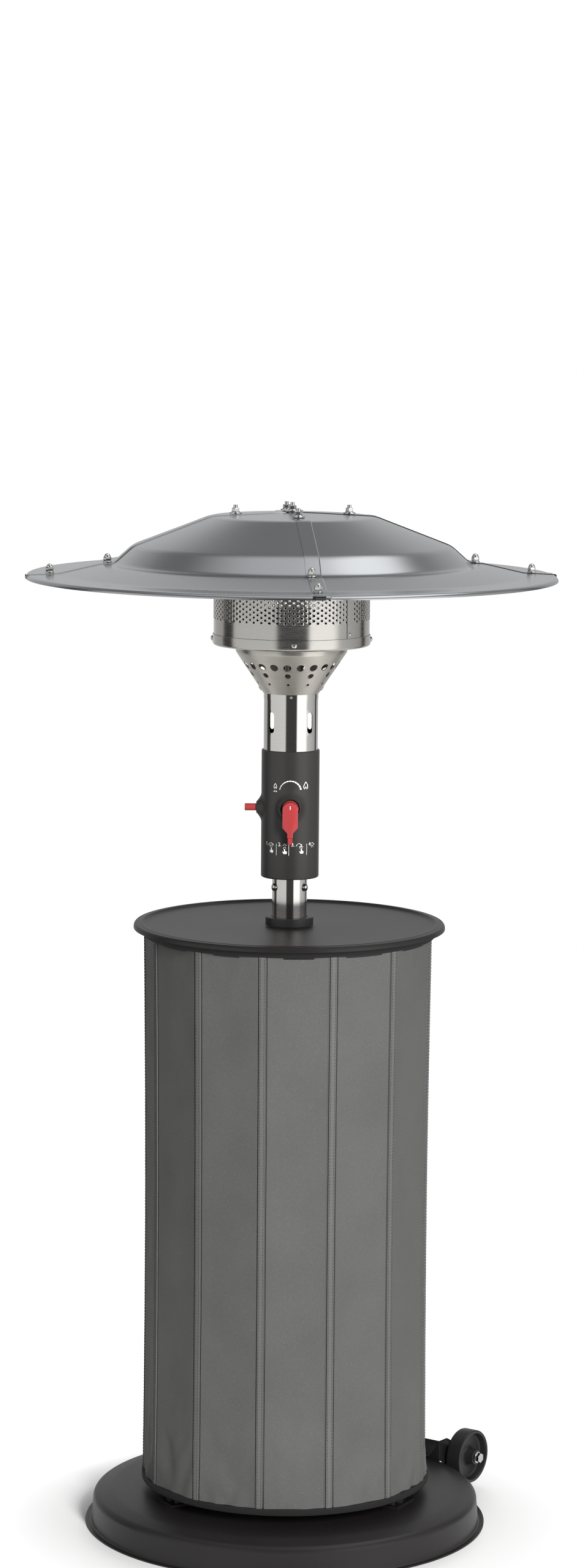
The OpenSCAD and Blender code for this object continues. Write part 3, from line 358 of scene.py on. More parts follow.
class Palette(Enum):
    """The finishes of the heater, by the record's material slots."""

    BLACK_PAINT = Enamel("black_paint_satin", "#1c1a1a", 0.4, ior=1.42)
    # Black paint of the frame and bracket, darker than the other black paint: partly the paint,
    # partly painted shade under the sleeve.
    FRAME_PAINT = Enamel("frame_paint_black", "#161617", 0.5)
    HOUSING_COAT = Enamel("housing_coat_matt", "#2b2a29", 0.4, peel_mm=0.8, depth_mm=0.006)
    POLISHED_STEEL = Steel(
        "steel_polished", "#dcdad6", 0.1, depth_mm=0.0005, spread=0.02, stretch=0.4
    )
    BRUSHED_STEEL = Steel(
        "steel_brushed", "#cbc8c3", 0.25, depth_mm=0.002, streak=0.09, stretch=0.88
    )
    SOOTED_STEEL = Enamel("steel_heat_blackened", "#141312", 0.8)
    # The cone's brushed steel, lighter than the pan's: painted light.
    CONE_STEEL = Steel(
        "steel_brushed_cone", "#d6d2ca", 0.38, depth_mm=0.003, streak=0.12, stretch=0.85
    )
    HOOD_SHEET = Steel(
        "hood_sheet_satin", "#b7b9bc", 0.25, grain=Grain.NONE, depth_mm=0.0, spread=0.01,
        streak=0.015,
    )
    ZINC = Steel("zinc_plate", "#d2d3d2", 0.2, grain=Grain.NONE, depth_mm=0.002)
    CLOTH = Cloth("cloth_coated_weave", "#525251", 0.6, ior=1.33)
    # The seam strips are the same cloth, made lighter here: painted sheen.
    CLOTH_STRIP = Cloth("cloth_seam_strip", "#5b5b5a", 0.6, ior=1.33)
    BINDING = Moulded("binding_tape", "#191919", 0.75, grit_mm=1.0, depth_mm=0.08)
    THREAD = Moulded("sewing_thread", "#2c2d2d", 0.7, grit_mm=0.4, depth_mm=0.05)
    BLACK_PLASTIC = Moulded("plastic_black", "#1b1b1c", 0.42)
    RED_PLASTIC = Moulded("plastic_red", "#9e3739", 0.38, coat=0.15)
    BRASS = Steel("brass_turned", "#b3924f", 0.25)
    CERAMIC = Moulded("ceramic_glazed", "#e6e2da", 0.3)
    PRINT_WHITE = Moulded("print_white", "#e4e4e2", 0.55, depth_mm=0.0)
    # Near-black for the patches in the lap slots under the hood's brim: painted shade.
    GAP_BLACK = Moulded("edge_trim_black", "#101010", 0.6)

    def material(self) -> bpy.types.Material:
        """Returns the material of this finish."""
        return self.value.material()


def polar(radius: float, angle: float, height: float) -> Point3:
    """Point at a distance and an angle round the mast axis, in radians, and at a height."""
    return (radius * math.cos(angle), radius * math.sin(angle), height)


def arc(centre: Point2, radius: float, start: float, end: float, steps: int) -> list[Point2]:
    """Points along an arc of a section, from one angle to another, in degrees.

    Args:
        centre: Centre of the arc.
        radius: Its radius.
        start: Angle of its first point.
        end: Angle of its last point.
        steps: Straight pieces in it.

    Returns:
        The points.
    """
    angles = [math.radians(start + (end - start) * i / steps) for i in range(steps + 1)]
    return [(centre[0] + radius * math.cos(a), centre[1] + radius * math.sin(a)) for a in angles]


def beside(path: Sequence[Point2], gap: float) -> list[Point2]:
    """Moves a path to its left by a gap, mitred at its corners.

    Args:
        path: The path's points.
        gap: How far it moves.

    Returns:
        The moved path.
    """
    ways = [(Vector(q) - Vector(p)).normalized() for p, q in zip(path, path[1:])]
    sides = [Vector((-w.y, w.x)) for w in ways]
    first, last = [sides[0], *sides], [*sides, sides[-1]]
    moved = [Vector(p) + gap * (a + b) / (1 + a.dot(b)) for p, a, b in zip(path, first, last)]
    return [(m.x, m.y) for m in moved]


def eased(path: Sequence[Point2], cut: float, steps: int) -> list[Point2]:
    """Rounds the inner corners of a path, starting a length before each corner.

    Args:
        path: The path's points.
        cut: How far from a corner its curve begins and ends.
        steps: Straight pieces in each curve.

    Returns:
        The path with a curve at each inner corner.
    """
    out = [path[0]]
    for before, here, after in zip(path, path[1:], path[2:]):
        corner = Vector(here)
        start, end = (
            corner + min(cut, side.length * 0.45) * side.normalized()
            for side in (Vector(before) - corner, Vector(after) - corner)
        )
        for i in range(steps + 1):
            t = i / steps
            p = start * (1 - t) ** 2 + corner * 2 * t * (1 - t) + end * t**2
            out.append((p.x, p.y))
    return [*out, path[-1]]


def walled(path: Sequence[Point2], wall: float) -> list[Point2]:
    """Closes a path into the section of a sheet, with its wall on the path's left."""
    return [*path, *reversed(beside(path, wall))]


class Shell:
    """Points and faces of one piece while it is put together, in millimetres."""

    def __init__(self) -> None:
        """Starts with nothing."""
        self.points: list[Point3] = []
        self.faces: list[tuple[int, ...]] = []

    def add(self, points: Sequence[Point3], faces: Sequence[Sequence[int]]) -> None:
        """Adds points and the faces between them.

        Args:
            points: The points, in millimetres.
            faces: The faces, by the places of their points in that list.
        """
        base = len(self.points)
        self.points.extend((float(p[0]), float(p[1]), float(p[2])) for p in points)
        self.faces.extend(tuple(base + i for i in face) for face in faces)

    def turned(
        self, section: Sequence[Point2], segments: int = SEGMENTS, frame_of: Matrix | None = None
    ) -> None:
        """Turns a closed section of radius and height about the Z axis.

        Args:
            section: Closed outline, each point a radius and a height.
            segments: Straight pieces round the axis.
            frame_of: Where the axis is placed; the mast axis where it is left out.
        """
        place = frame_of or Matrix.Identity(4)
        points: list[Point3] = []
        rings: list[list[int]] = []
        for r, z in section:
            count = segments if r > 1e-4 else 1
            rings.append(list(range(len(points), len(points) + count)))
            for i in range(count):
                points.append(tuple(place @ Vector(polar(r, TURN * i / segments, z))))
        faces: list[tuple[int, ...]] = []
        for a, b in zip(rings, rings[1:] + rings[:1]):
            if len(a) == len(b) == 1:
                continue
            for i in range(segments):
                j = (i + 1) % segments
                corners = [a[i % len(a)], a[j % len(a)], b[j % len(b)], b[i % len(b)]]
                faces.append(tuple(dict.fromkeys(corners)))
        self.add(points, faces)

    def rod(
        self, radius: float, low: float, high: float, segments: int, place: Matrix | None = None
    ) -> None:
        """Adds a plain cylinder between two heights of its own axis.

        Args:
            radius: Its radius.
            low: Where it begins.
            high: Where it ends.
            segments: Straight pieces round it.
            place: Where its axis is placed; the mast axis where it is left out.
        """
        self.turned([(0.0, low), (radius, low), (radius, high), (0.0, high)], segments, place)

    def grid(self, rows: Sequence[Sequence[Point3]], closed: bool = False) -> None:
        """Lays faces between rows of points, round and round where closed is set.

        Args:
            rows: The rows, all of one length.
            closed: Whether the last point of each row joins its first.
        """
        across = len(rows[0])
        points = [p for row in rows for p in row]
        faces = []
        for i in range(len(rows) - 1):
            for j in range(across if closed else across - 1):
                k = (j + 1) % across
                low, high = i * across, (i + 1) * across
                faces.append((low + j, low + k, high + k, high + j))
        self.add(points, faces)

    def prism(self, outline: Sequence[Point2], low: float, high: float, place: Matrix) -> None:
        """Raises an outline into a solid between two heights of its own frame.

        Args:
            outline: The outline, anticlockwise.
            low: Height of its lower face.
            high: Height of its upper face.
            place: The frame.
        """
        count = len(outline)
        points = [tuple(place @ Vector((x, y, z))) for z in (low, high) for x, y in outline]
        faces: list[tuple[int, ...]] = [
            (i, (i + 1) % count, count + (i + 1) % count, count + i) for i in range(count)
        ]
        faces += [tuple(reversed(range(count))), tuple(range(count, 2 * count))]
        self.add(points, faces)

    def block(self, low: Point3, high: Point3, place: Matrix) -> None:
        """Adds a cuboid between two corners of its own frame."""
        outline = [(low[0], low[1]), (high[0], low[1]), (high[0], high[1]), (low[0], high[1])]
        self.prism(outline, low[2], high[2], place)

    def raw(self, name: str) -> Mesh:
        """Makes the mesh as it is, in metres.

        Args:
            name: Name of the mesh.

        Returns:
            The mesh.
        """
        made = bpy.data.meshes.new(name)
        made.from_pydata([tuple(c * MM for c in p) for p in self.points], [], self.faces)
        return made

    def mesh(self, name: str, merge: float = CLOSE) -> Mesh:
        """Makes the mesh, in metres, with its faces pointing outwards.

        Args:
            name: Name of the mesh.
            merge: Points closer than this are made one.

        Returns:
            The mesh.
        """
        return tidied(self.raw(name), merge)


def tidied(mesh: Mesh, merge: float = CLOSE) -> Mesh:
    """Merges the doubles of a mesh and points its faces outwards.

    Args:
        mesh: The mesh, in metres.
        merge: Points closer than this many millimetres are made one.

    Returns:
        The same mesh.
    """
    work = bmesh.new()
    work.from_mesh(mesh)
    bmesh.ops.remove_doubles(work, verts=work.verts, dist=merge * MM)
    bmesh.ops.dissolve_degenerate(work, edges=work.edges, dist=merge * MM * 0.1)
    bmesh.ops.recalc_face_normals(work, faces=work.faces)
    work.to_mesh(mesh)
    work.free()
    mesh.update()
    return mesh


def joined(name: str, meshes: Sequence[Mesh], merge: float = CLOSE) -> Mesh:
    """Joins meshes into one and removes the ones that it was made from.

    Args:
        name: Name of the new mesh.
        meshes: The meshes; they are removed.
        merge: Points closer than this many millimetres are made one.

    Returns:
        The one mesh.
    """
    work = bmesh.new()
    for mesh in meshes:
        work.from_mesh(mesh)
    made = bpy.data.meshes.new(name)
    work.to_mesh(made)
    work.free()
    for mesh in meshes:
        bpy.data.meshes.remove(mesh)
    return tidied(made, merge)


def as_object(name: str, mesh: Mesh) -> bpy.types.Object:
    """Puts a mesh into the scene as an object at the origin.

    Args:
        name: Name of the object.
        mesh: Its mesh.

    Returns:
        The object.
    """
    made = bpy.data.objects.new(name, mesh)
    bpy.context.scene.collection.objects.link(made)
    return made


def dropped(thing: bpy.types.Object) -> None:
    """Removes an object and its mesh.

    Args:
        thing: The object.
    """
    old = thing.data
    bpy.data.objects.remove(thing)
    bpy.data.meshes.remove(old)


def taken(holder: bpy.types.Object) -> Mesh:
    """Turns what an object shows into a plain mesh and removes the object.

    Args:
        holder: The object.

    Returns:
        The mesh that it showed.
    """
    bpy.context.view_layer.update()
    graph = bpy.context.evaluated_depsgraph_get()
    made = bpy.data.meshes.new_from_object(holder.evaluated_get(graph))
    made.name = holder.name
    holder.modifiers.clear()
    dropped(holder)
    return made


def bevelled(mesh: Mesh, width: float, angle: float, steps: int) -> Mesh:
    """Rounds the edges of a mesh.

    Args:
        mesh: The mesh; it is removed.
        width: Width of the bevel, in millimetres.
        angle: Edges sharper than this many degrees are rounded.
        steps: Straight pieces across each bevel.

    Returns:
        A new mesh with its edges rounded.
    """
    holder = as_object(mesh.name, mesh)
    bevel = holder.modifiers.new("Bevel", "BEVEL")
    bevel.width, bevel.segments = width * MM, steps
    bevel.limit_method, bevel.angle_limit = "ANGLE", math.radians(angle)
    bevel.use_clamp_overlap = True
    return taken(holder)


def cut_from(name: str, body: Mesh | Shell, drill: Shell, merge: float = CLOSE) -> Mesh:
    """Cuts the shells of a drill out of a body and returns what is left.

    Args:
        name: Name of the mesh that is left.
        body: The body; its mesh is removed.
        drill: The shells that are cut away.
        merge: Points of the drill closer than this are made one.

    Returns:
        The mesh that is left.
    """
    holder = as_object(name, body.mesh(name) if isinstance(body, Shell) else body)
    tool = as_object("drill", drill.mesh("drill", merge))
    cut = holder.modifiers.new("Drill", "BOOLEAN")
    cut.operation, cut.object, cut.solver = "DIFFERENCE", tool, "EXACT"
    cut.use_self = True
    mesh = taken(holder)
    dropped(tool)
    return mesh


def piece(
    name: str, shape: Mesh | Shell, finish: Palette, body: str, stands_for: Sequence[str] = (),
    sharp: float = 35.0,
) -> bpy.types.Object:
    """Puts a finished shape into the scene and fastens it to its body.

    Args:
        name: Name of the piece.
        shape: Its mesh, in metres, or its shell.
        finish: Its finish.
        body: The CAD body that it rides on.
        stands_for: CAD nodes that it replaces.
        sharp: Edges sharper than this many degrees stay sharp.

    Returns:
        The piece.
    """
    mesh = shape.mesh(name) if isinstance(shape, Shell) else shape
    mesh.shade_smooth()
    mesh.set_sharp_from_angle(angle=math.radians(sharp))
    if not mesh.materials or mesh.materials[0] != finish.material():
        mesh.materials.clear()
        mesh.materials.append(finish.material())
    made = as_object(name, mesh)
    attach(made, body)
    SLOTS.get(finish, finish.name.lower())
    if stands_for:
        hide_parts(*stands_for)
    log.info("%s on %s, %d faces", name, body, len(mesh.polygons))
    return made


SLOTS = {
    Palette.THREAD: "binding", Palette.CLOTH_STRIP: "cloth", Palette.CONE_STEEL: "brushed_steel",
    Palette.SOOTED_STEEL: "brushed_steel", Palette.PRINT_WHITE: "housing_coat",
    Palette.GAP_BLACK: "black_plastic",
}


def new_tree(name: str, inputs: dict[str, str]) -> tuple[Tree, dict[str | float, Socket]]:
    """Starts a geometry tree with named inputs, the last of them its Material.

    Args:
        name: Name of the tree.
        inputs: Name of each input and the kind of its socket.

    Returns:
        The tree and the outputs of its input node, by name.
    """
    tree = bpy.data.node_groups.new(name, "GeometryNodeTree")
    tree.interface.new_socket("Geometry", in_out="OUTPUT", socket_type="NodeSocketGeometry")
    sockets = {**inputs, "Material": "Material"}
    for label, kind in sockets.items():
        tree.interface.new_socket(label, in_out="INPUT", socket_type=f"NodeSocket{kind}")
    start = add_node(tree, "NodeGroupInput")
    return tree, {label: start.outputs[label] for label in sockets}


def end_tree(tree: Tree, placed: Socket, material: Socket, bend: Socket | None = None) -> Tree:
    """Ends a geometry tree: makes its instances real, bends them and gives them the material.

    Args:
        tree: The tree.
        placed: The instances.
        material: The material.
        bend: Where each point goes; they stay where it is left out.

    Returns:
        The same tree.
    """
    real = add_node(tree, "GeometryNodeRealizeInstances", inputs={0: placed}).outputs[0]
    if bend:
        real = add_node(
            tree, "GeometryNodeSetPosition", inputs={"Geometry": real, "Position": bend}
        ).outputs[0]
    dressed = add_node(
        tree, "GeometryNodeSetMaterial", inputs={"Geometry": real, "Material": material}
    )
    add_node(tree, "NodeGroupOutput", inputs={0: dressed.outputs[0]})
    return tree


def grown(tree: Tree, name: str, inputs: dict[str, object]) -> Mesh:
    """Runs a geometry tree once and returns what it makes as a plain mesh.

    Args:
        tree: The geometry tree.
        name: Name of the new mesh.
        inputs: The tree's inputs by name; objects among them are removed afterwards.

    Returns:
        The mesh, with its material.
    """
    holder = as_object(name, bpy.data.meshes.new(name))
    modifier = holder.modifiers.new("Build", "NODES")
    modifier.node_group = tree
    for item in tree.interface.items_tree:
        if item.in_out == "INPUT" and item.name in inputs:
            modifier[item.identifier] = inputs[item.name]
    made = taken(holder)
    for value in inputs.values():
        if isinstance(value, bpy.types.Object):
            dropped(value)
    return made


def ring_tree() -> Tree:
    """Tree that sets a fastener at even steps round the mast axis.

    Its inputs are the Fastener, its Count, the Radius and Height of the circle, the angle of the
    Start, the Lean of the fastener's own Z axis outwards and its Turn about that axis.

    Returns:
        The tree, made only once.
    """
    known = bpy.data.node_groups.get("fasteners_in_a_ring")
    if known:
        return known
    tree, given = new_tree(
        "fasteners_in_a_ring",
        {"Fastener": "Object", "Count": "Int"}
        | dict.fromkeys(("Step", "Radius", "Height", "Start", "Lean", "Turn"), "Float"),
    )
    given["index"] = add_node(tree, "GeometryNodeInputIndex").outputs[0]
    for name, operation, *values in (
        ("angle", "MULTIPLY_ADD", "index", "Step", "Start"), ("cosine", "COSINE", "angle"),
        ("across", "MULTIPLY", "cosine", "Radius"), ("sine", "SINE", "angle"),
        ("along", "MULTIPLY", "sine", "Radius"),
    ):
        sources = {i: given.get(value, value) for i, value in enumerate(values)}
        made = add_node(tree, "ShaderNodeMath", {"operation": operation}, sources)
        given[name] = made.outputs[0]
    place, facing, own = (
        add_node(tree, "ShaderNodeCombineXYZ", inputs=parts).outputs[0]
        for parts in (
            {0: given["across"], 1: given["along"], 2: given["Height"]},
            {0: 0.0, 1: given["Lean"], 2: given["angle"]}, {2: given["Turn"]},
        )
    )
    points = add_node(
        tree, "GeometryNodePoints", inputs={"Count": given["Count"], "Position": place}
    ).outputs[0]
    shape = add_node(tree, "GeometryNodeObjectInfo", inputs={"Object": given["Fastener"]})
    turned = add_node(
        tree, "FunctionNodeRotateRotation", {"rotation_space": "LOCAL"}, {0: facing, 1: own}
    ).outputs[0]
    set_out = add_node(
        tree, "GeometryNodeInstanceOnPoints",
        inputs={"Points": points, "Instance": shape.outputs["Geometry"], "Rotation": turned},
    ).outputs[0]
    return end_tree(tree, set_out, given["Material"])


def ring_of(
    name: str, fastener: Shell, finish: Palette, count: int, radius: float, height: float,
    start: float, lean: float = 0.0, turn: float = 0.0, step: float | None = None,
) -> Mesh:
    """Makes one mesh of a fastener set round the mast axis.

    Args:
        name: Name of the mesh.
        fastener: The fastener, standing on the origin along its own Z axis.
        finish: Its finish.
        count: How many there are.
        radius: Radius of their circle.
        height: Height of their seats.
        start: Angle of the first one, in degrees.
        lean: Tilt of the fastener outwards, in degrees; 90 for one that points outwards.
        turn: Turn of the fastener about its own axis, in degrees.
        step: Angle from one to the next; even steps where it is left out.

    Returns:
        The mesh.
    """
    return grown(
        ring_tree(), name,
        {
            "Fastener": as_object(f"{name}_one", fastener.mesh(f"{name}_one")), "Count": count,
            "Step": math.radians(360 / count if step is None else step), "Radius": radius * MM,
            "Height": height * MM, "Start": math.radians(start), "Lean": math.radians(lean),
            "Turn": math.radians(turn), "Material": finish.material(),
        },
    )


def wrapping_tree() -> Tree:
    """Tree that lays cells of sheet side by side and wraps them round the mast axis.

    Cells stand in Columns and Rows, each a Width and a Rise apart, with every other column moved
    up by the Shift. Gauge is the radius at which a cell keeps its width, Radius the wall's radius
    at its Foot, and Lean the tilt of the wall outwards.

    Returns:
        The tree, made only once.
    """
    known = bpy.data.node_groups.get("wrapped_perforations")
    if known:
        return known
    sizes = ("Width", "Rise", "Shift", "Gauge", "Radius", "Lean", "Foot", "Start")
    tree, given = new_tree(
        "wrapped_perforations",
        {"Cell": "Object", "Columns": "Int", "Rows": "Int"} | dict.fromkeys(sizes, "Float"),
    )
    given["index"] = add_node(tree, "GeometryNodeInputIndex").outputs[0]
    position = add_node(tree, "GeometryNodeInputPosition").outputs[0]
    flat = add_node(tree, "ShaderNodeSeparateXYZ", inputs={0: position}).outputs
    given |= {"flat_x": flat[0], "flat_y": flat[1], "flat_z": flat[2]}
    for name, operation, *values in (
        ("column", "FLOORED_MODULO", "index", "Columns"), ("turns", "DIVIDE", "index", "Columns"),
        ("row", "FLOOR", "turns"), ("odd", "FLOORED_MODULO", "column", 2.0),
        ("column_middle", "ADD", "column", 0.5), ("across", "MULTIPLY", "column_middle", "Width"),
        ("row_middle", "ADD", "row", 0.5), ("up", "MULTIPLY", "row_middle", "Rise"),
        ("raised", "MULTIPLY_ADD", "odd", "Shift", "up"), ("count", "MULTIPLY", "Columns", "Rows"),
        ("lean_sine", "SINE", "Lean"), ("lean_cosine", "COSINE", "Lean"),
        ("way_round", "DIVIDE", "flat_x", "Gauge"), ("angle", "ADD", "way_round", "Start"),
        ("skin", "MULTIPLY_ADD", "flat_z", "lean_cosine", "Radius"),
        ("radius", "MULTIPLY_ADD", "flat_y", "lean_sine", "skin"),
        ("depth", "MULTIPLY", "flat_z", -1.0),
        ("base", "MULTIPLY_ADD", "depth", "lean_sine", "Foot"),
        ("height", "MULTIPLY_ADD", "flat_y", "lean_cosine", "base"), ("cosine", "COSINE", "angle"),
        ("sine", "SINE", "angle"), ("round_x", "MULTIPLY", "cosine", "radius"),
        ("round_y", "MULTIPLY", "sine", "radius"),
    ):
        sources = {i: given.get(value, value) for i, value in enumerate(values)}
        made = add_node(tree, "ShaderNodeMath", {"operation": operation}, sources)
        given[name] = made.outputs[0]
    place, wrapped = (
        add_node(tree, "ShaderNodeCombineXYZ", inputs=parts).outputs[0]
        for parts in (
            {0: given["across"], 1: given["raised"]},
            {0: given["round_x"], 1: given["round_y"], 2: given["height"]},
        )
    )
    points = add_node(
        tree, "GeometryNodePoints", inputs={"Count": given["count"], "Position": place}
    ).outputs[0]
    cell = add_node(tree, "GeometryNodeObjectInfo", inputs={"Object": given["Cell"]})
    laid = add_node(
        tree, "GeometryNodeInstanceOnPoints",
        inputs={"Points": points, "Instance": cell.outputs["Geometry"]},
    ).outputs[0]
    return end_tree(tree, laid, given["Material"], wrapped)


@dataclass
class Perforation:
    """One repeated cell of a perforated sheet: a round or long hole with a lip, in millimetres.

    The hole is round where stretch is 0; otherwise stretch is half the length of its straight
    sides, upright. Points across and up say how finely the cell's edge is divided.
    """

    width: float
    height: float
    hole_r: float
    wall: float
    stretch: float = 0.0
    lip: float = 0.0
    lip_width: float = 0.5
    across: int = 2
    core: int = 0
    up: int = 4

    def edge(self) -> list[Point2]:
        """Points round the part of the cell that holds the hole, from its lower left corner.

        Returns:
            The points.
        """
        count = self.core or self.across
        a, b = self.width / self.across * count / 2, self.height / 2
        low = [(-a + 2 * a * i / count, -b) for i in range(count)]
        right = [(a, -b + 2 * b * i / self.up) for i in range(self.up)]
        return low + right + [(-x, -y) for x, y in low + right]

    def rim(self, radius: float) -> list[Point2]:
        """Points round the hole at a radius, one for each point of the edge.

        Args:
            radius: The radius.

        Returns:
            The points.
        """
        out = []
        for x, y in self.edge():
            core = max(-self.stretch, min(self.stretch, y))
            way = Vector((x, y - core)).normalized()
            out.append((radius * way.x, core + radius * way.y))
        return out

    def shell(self) -> Shell:
        """The cell's two faces and the wall of its hole; its outer edge is left open.

        Returns:
            The shell.
        """
        rings = [(self.edge(), 0.0)]
        if self.lip:
            rings.append((self.rim(self.hole_r + self.lip_width), 0.0))
        rings += [
            (self.rim(self.hole_r), self.lip), (self.rim(self.hole_r), -self.wall),
            (self.edge(), -self.wall),
        ]
        made = Shell()
        made.grid([[(x, y, z) for x, y in ring] for ring, z in rings], closed=True)
        side = (self.across - self.core) // 2 if self.core else 0
        pitch = self.width / self.across
        for z in (0.0, -self.wall) if side else ():
            for way in (-1, 1):
                columns = [way * (self.width / 2 - pitch * i) for i in range(side + 1)]
                levels = [self.height * (i / self.up - 0.5) for i in range(self.up + 1)]
                made.grid([[(x, y, z) for y in levels] for x in columns])
        return made

    def wrapped(
        self, name: str, finish: Palette, columns: int, rows: int, radius: float, foot: float,
        start: float, lean: float = 0.0, shift: float = 0.0,
    ) -> Mesh:
        """Wraps columns and rows of the cell round the mast axis.

        Args:
            name: Name of the mesh.
            finish: Its finish.
            columns: Cells in a turn.
            rows: Cells above each other.
            radius: Radius of the outer face at its foot.
            foot: Height of the foot.
            start: Angle of the first cell's edge, in degrees.
            lean: Tilt of the wall outwards, in degrees.
            shift: How far every other column is moved up.

        Returns:
            The mesh, open at its top and its foot.
        """
        gauge = self.width * columns / TURN
        return grown(
            wrapping_tree(), name,
            {
                "Cell": as_object(f"{name}_cell", self.shell().raw(f"{name}_cell")),
                "Columns": columns, "Rows": rows, "Width": self.width * MM,
                "Rise": self.height * MM, "Shift": shift * MM, "Gauge": gauge * MM,
                "Radius": radius * MM, "Lean": math.radians(lean), "Foot": foot * MM,
                "Start": math.radians(start), "Material": finish.material(),
            },
        )


def hoops(section: Sequence[Point2], segments: int, start: float) -> list[list[Point3]]:
    """Rings of points round the mast axis, one for each point of an open section.

    Args:
        section: Points of the section: radius and height.
        segments: Straight pieces round the axis.
        start: Angle of the first column, in degrees.

    Returns:
        The rings.
    """
    angles = [math.radians(start) + TURN * i / segments for i in range(segments)]
    return [[polar(r, a, z) for a in angles] for r, z in section]


def stitching_tree() -> Tree:
    """Tree that sews Stitches along the Lines of a mesh, a Pitch apart.

    Returns:
        The tree.
    """
    tree, given = new_tree(
        "stitches_along_lines", {"Lines": "Object", "Stitch": "Object", "Pitch": "Float"}
    )
    lines = add_node(tree, "GeometryNodeObjectInfo", inputs={"Object": given["Lines"]})
    curves = add_node(tree, "GeometryNodeMeshToCurve", inputs={0: lines.outputs["Geometry"]})
    even = add_node(
        tree, "GeometryNodeResampleCurve", {"mode": "LENGTH"},
        {"Curve": curves.outputs[0], "Length": given["Pitch"]},
    ).outputs[0]
    way = add_node(tree, "GeometryNodeInputTangent").outputs[0]
    along = add_node(
        tree, "FunctionNodeAlignRotationToVector", {"axis": "X"}, {"Vector": way}
    ).outputs[0]
    stitch = add_node(tree, "GeometryNodeObjectInfo", inputs={"Object": given["Stitch"]})
    sewn = add_node(
        tree, "GeometryNodeInstanceOnPoints",
        inputs={"Points": even, "Instance": stitch.outputs["Geometry"], "Rotation": along},
    ).outputs[0]
    return end_tree(tree, sewn, given["Material"])


@dataclass(frozen=True)
class Lamp:
    """A soft lamp: its name, its place and its width and height in metres, and its watts."""

    name: str
    at: Point3
    size: Point2
    power: float


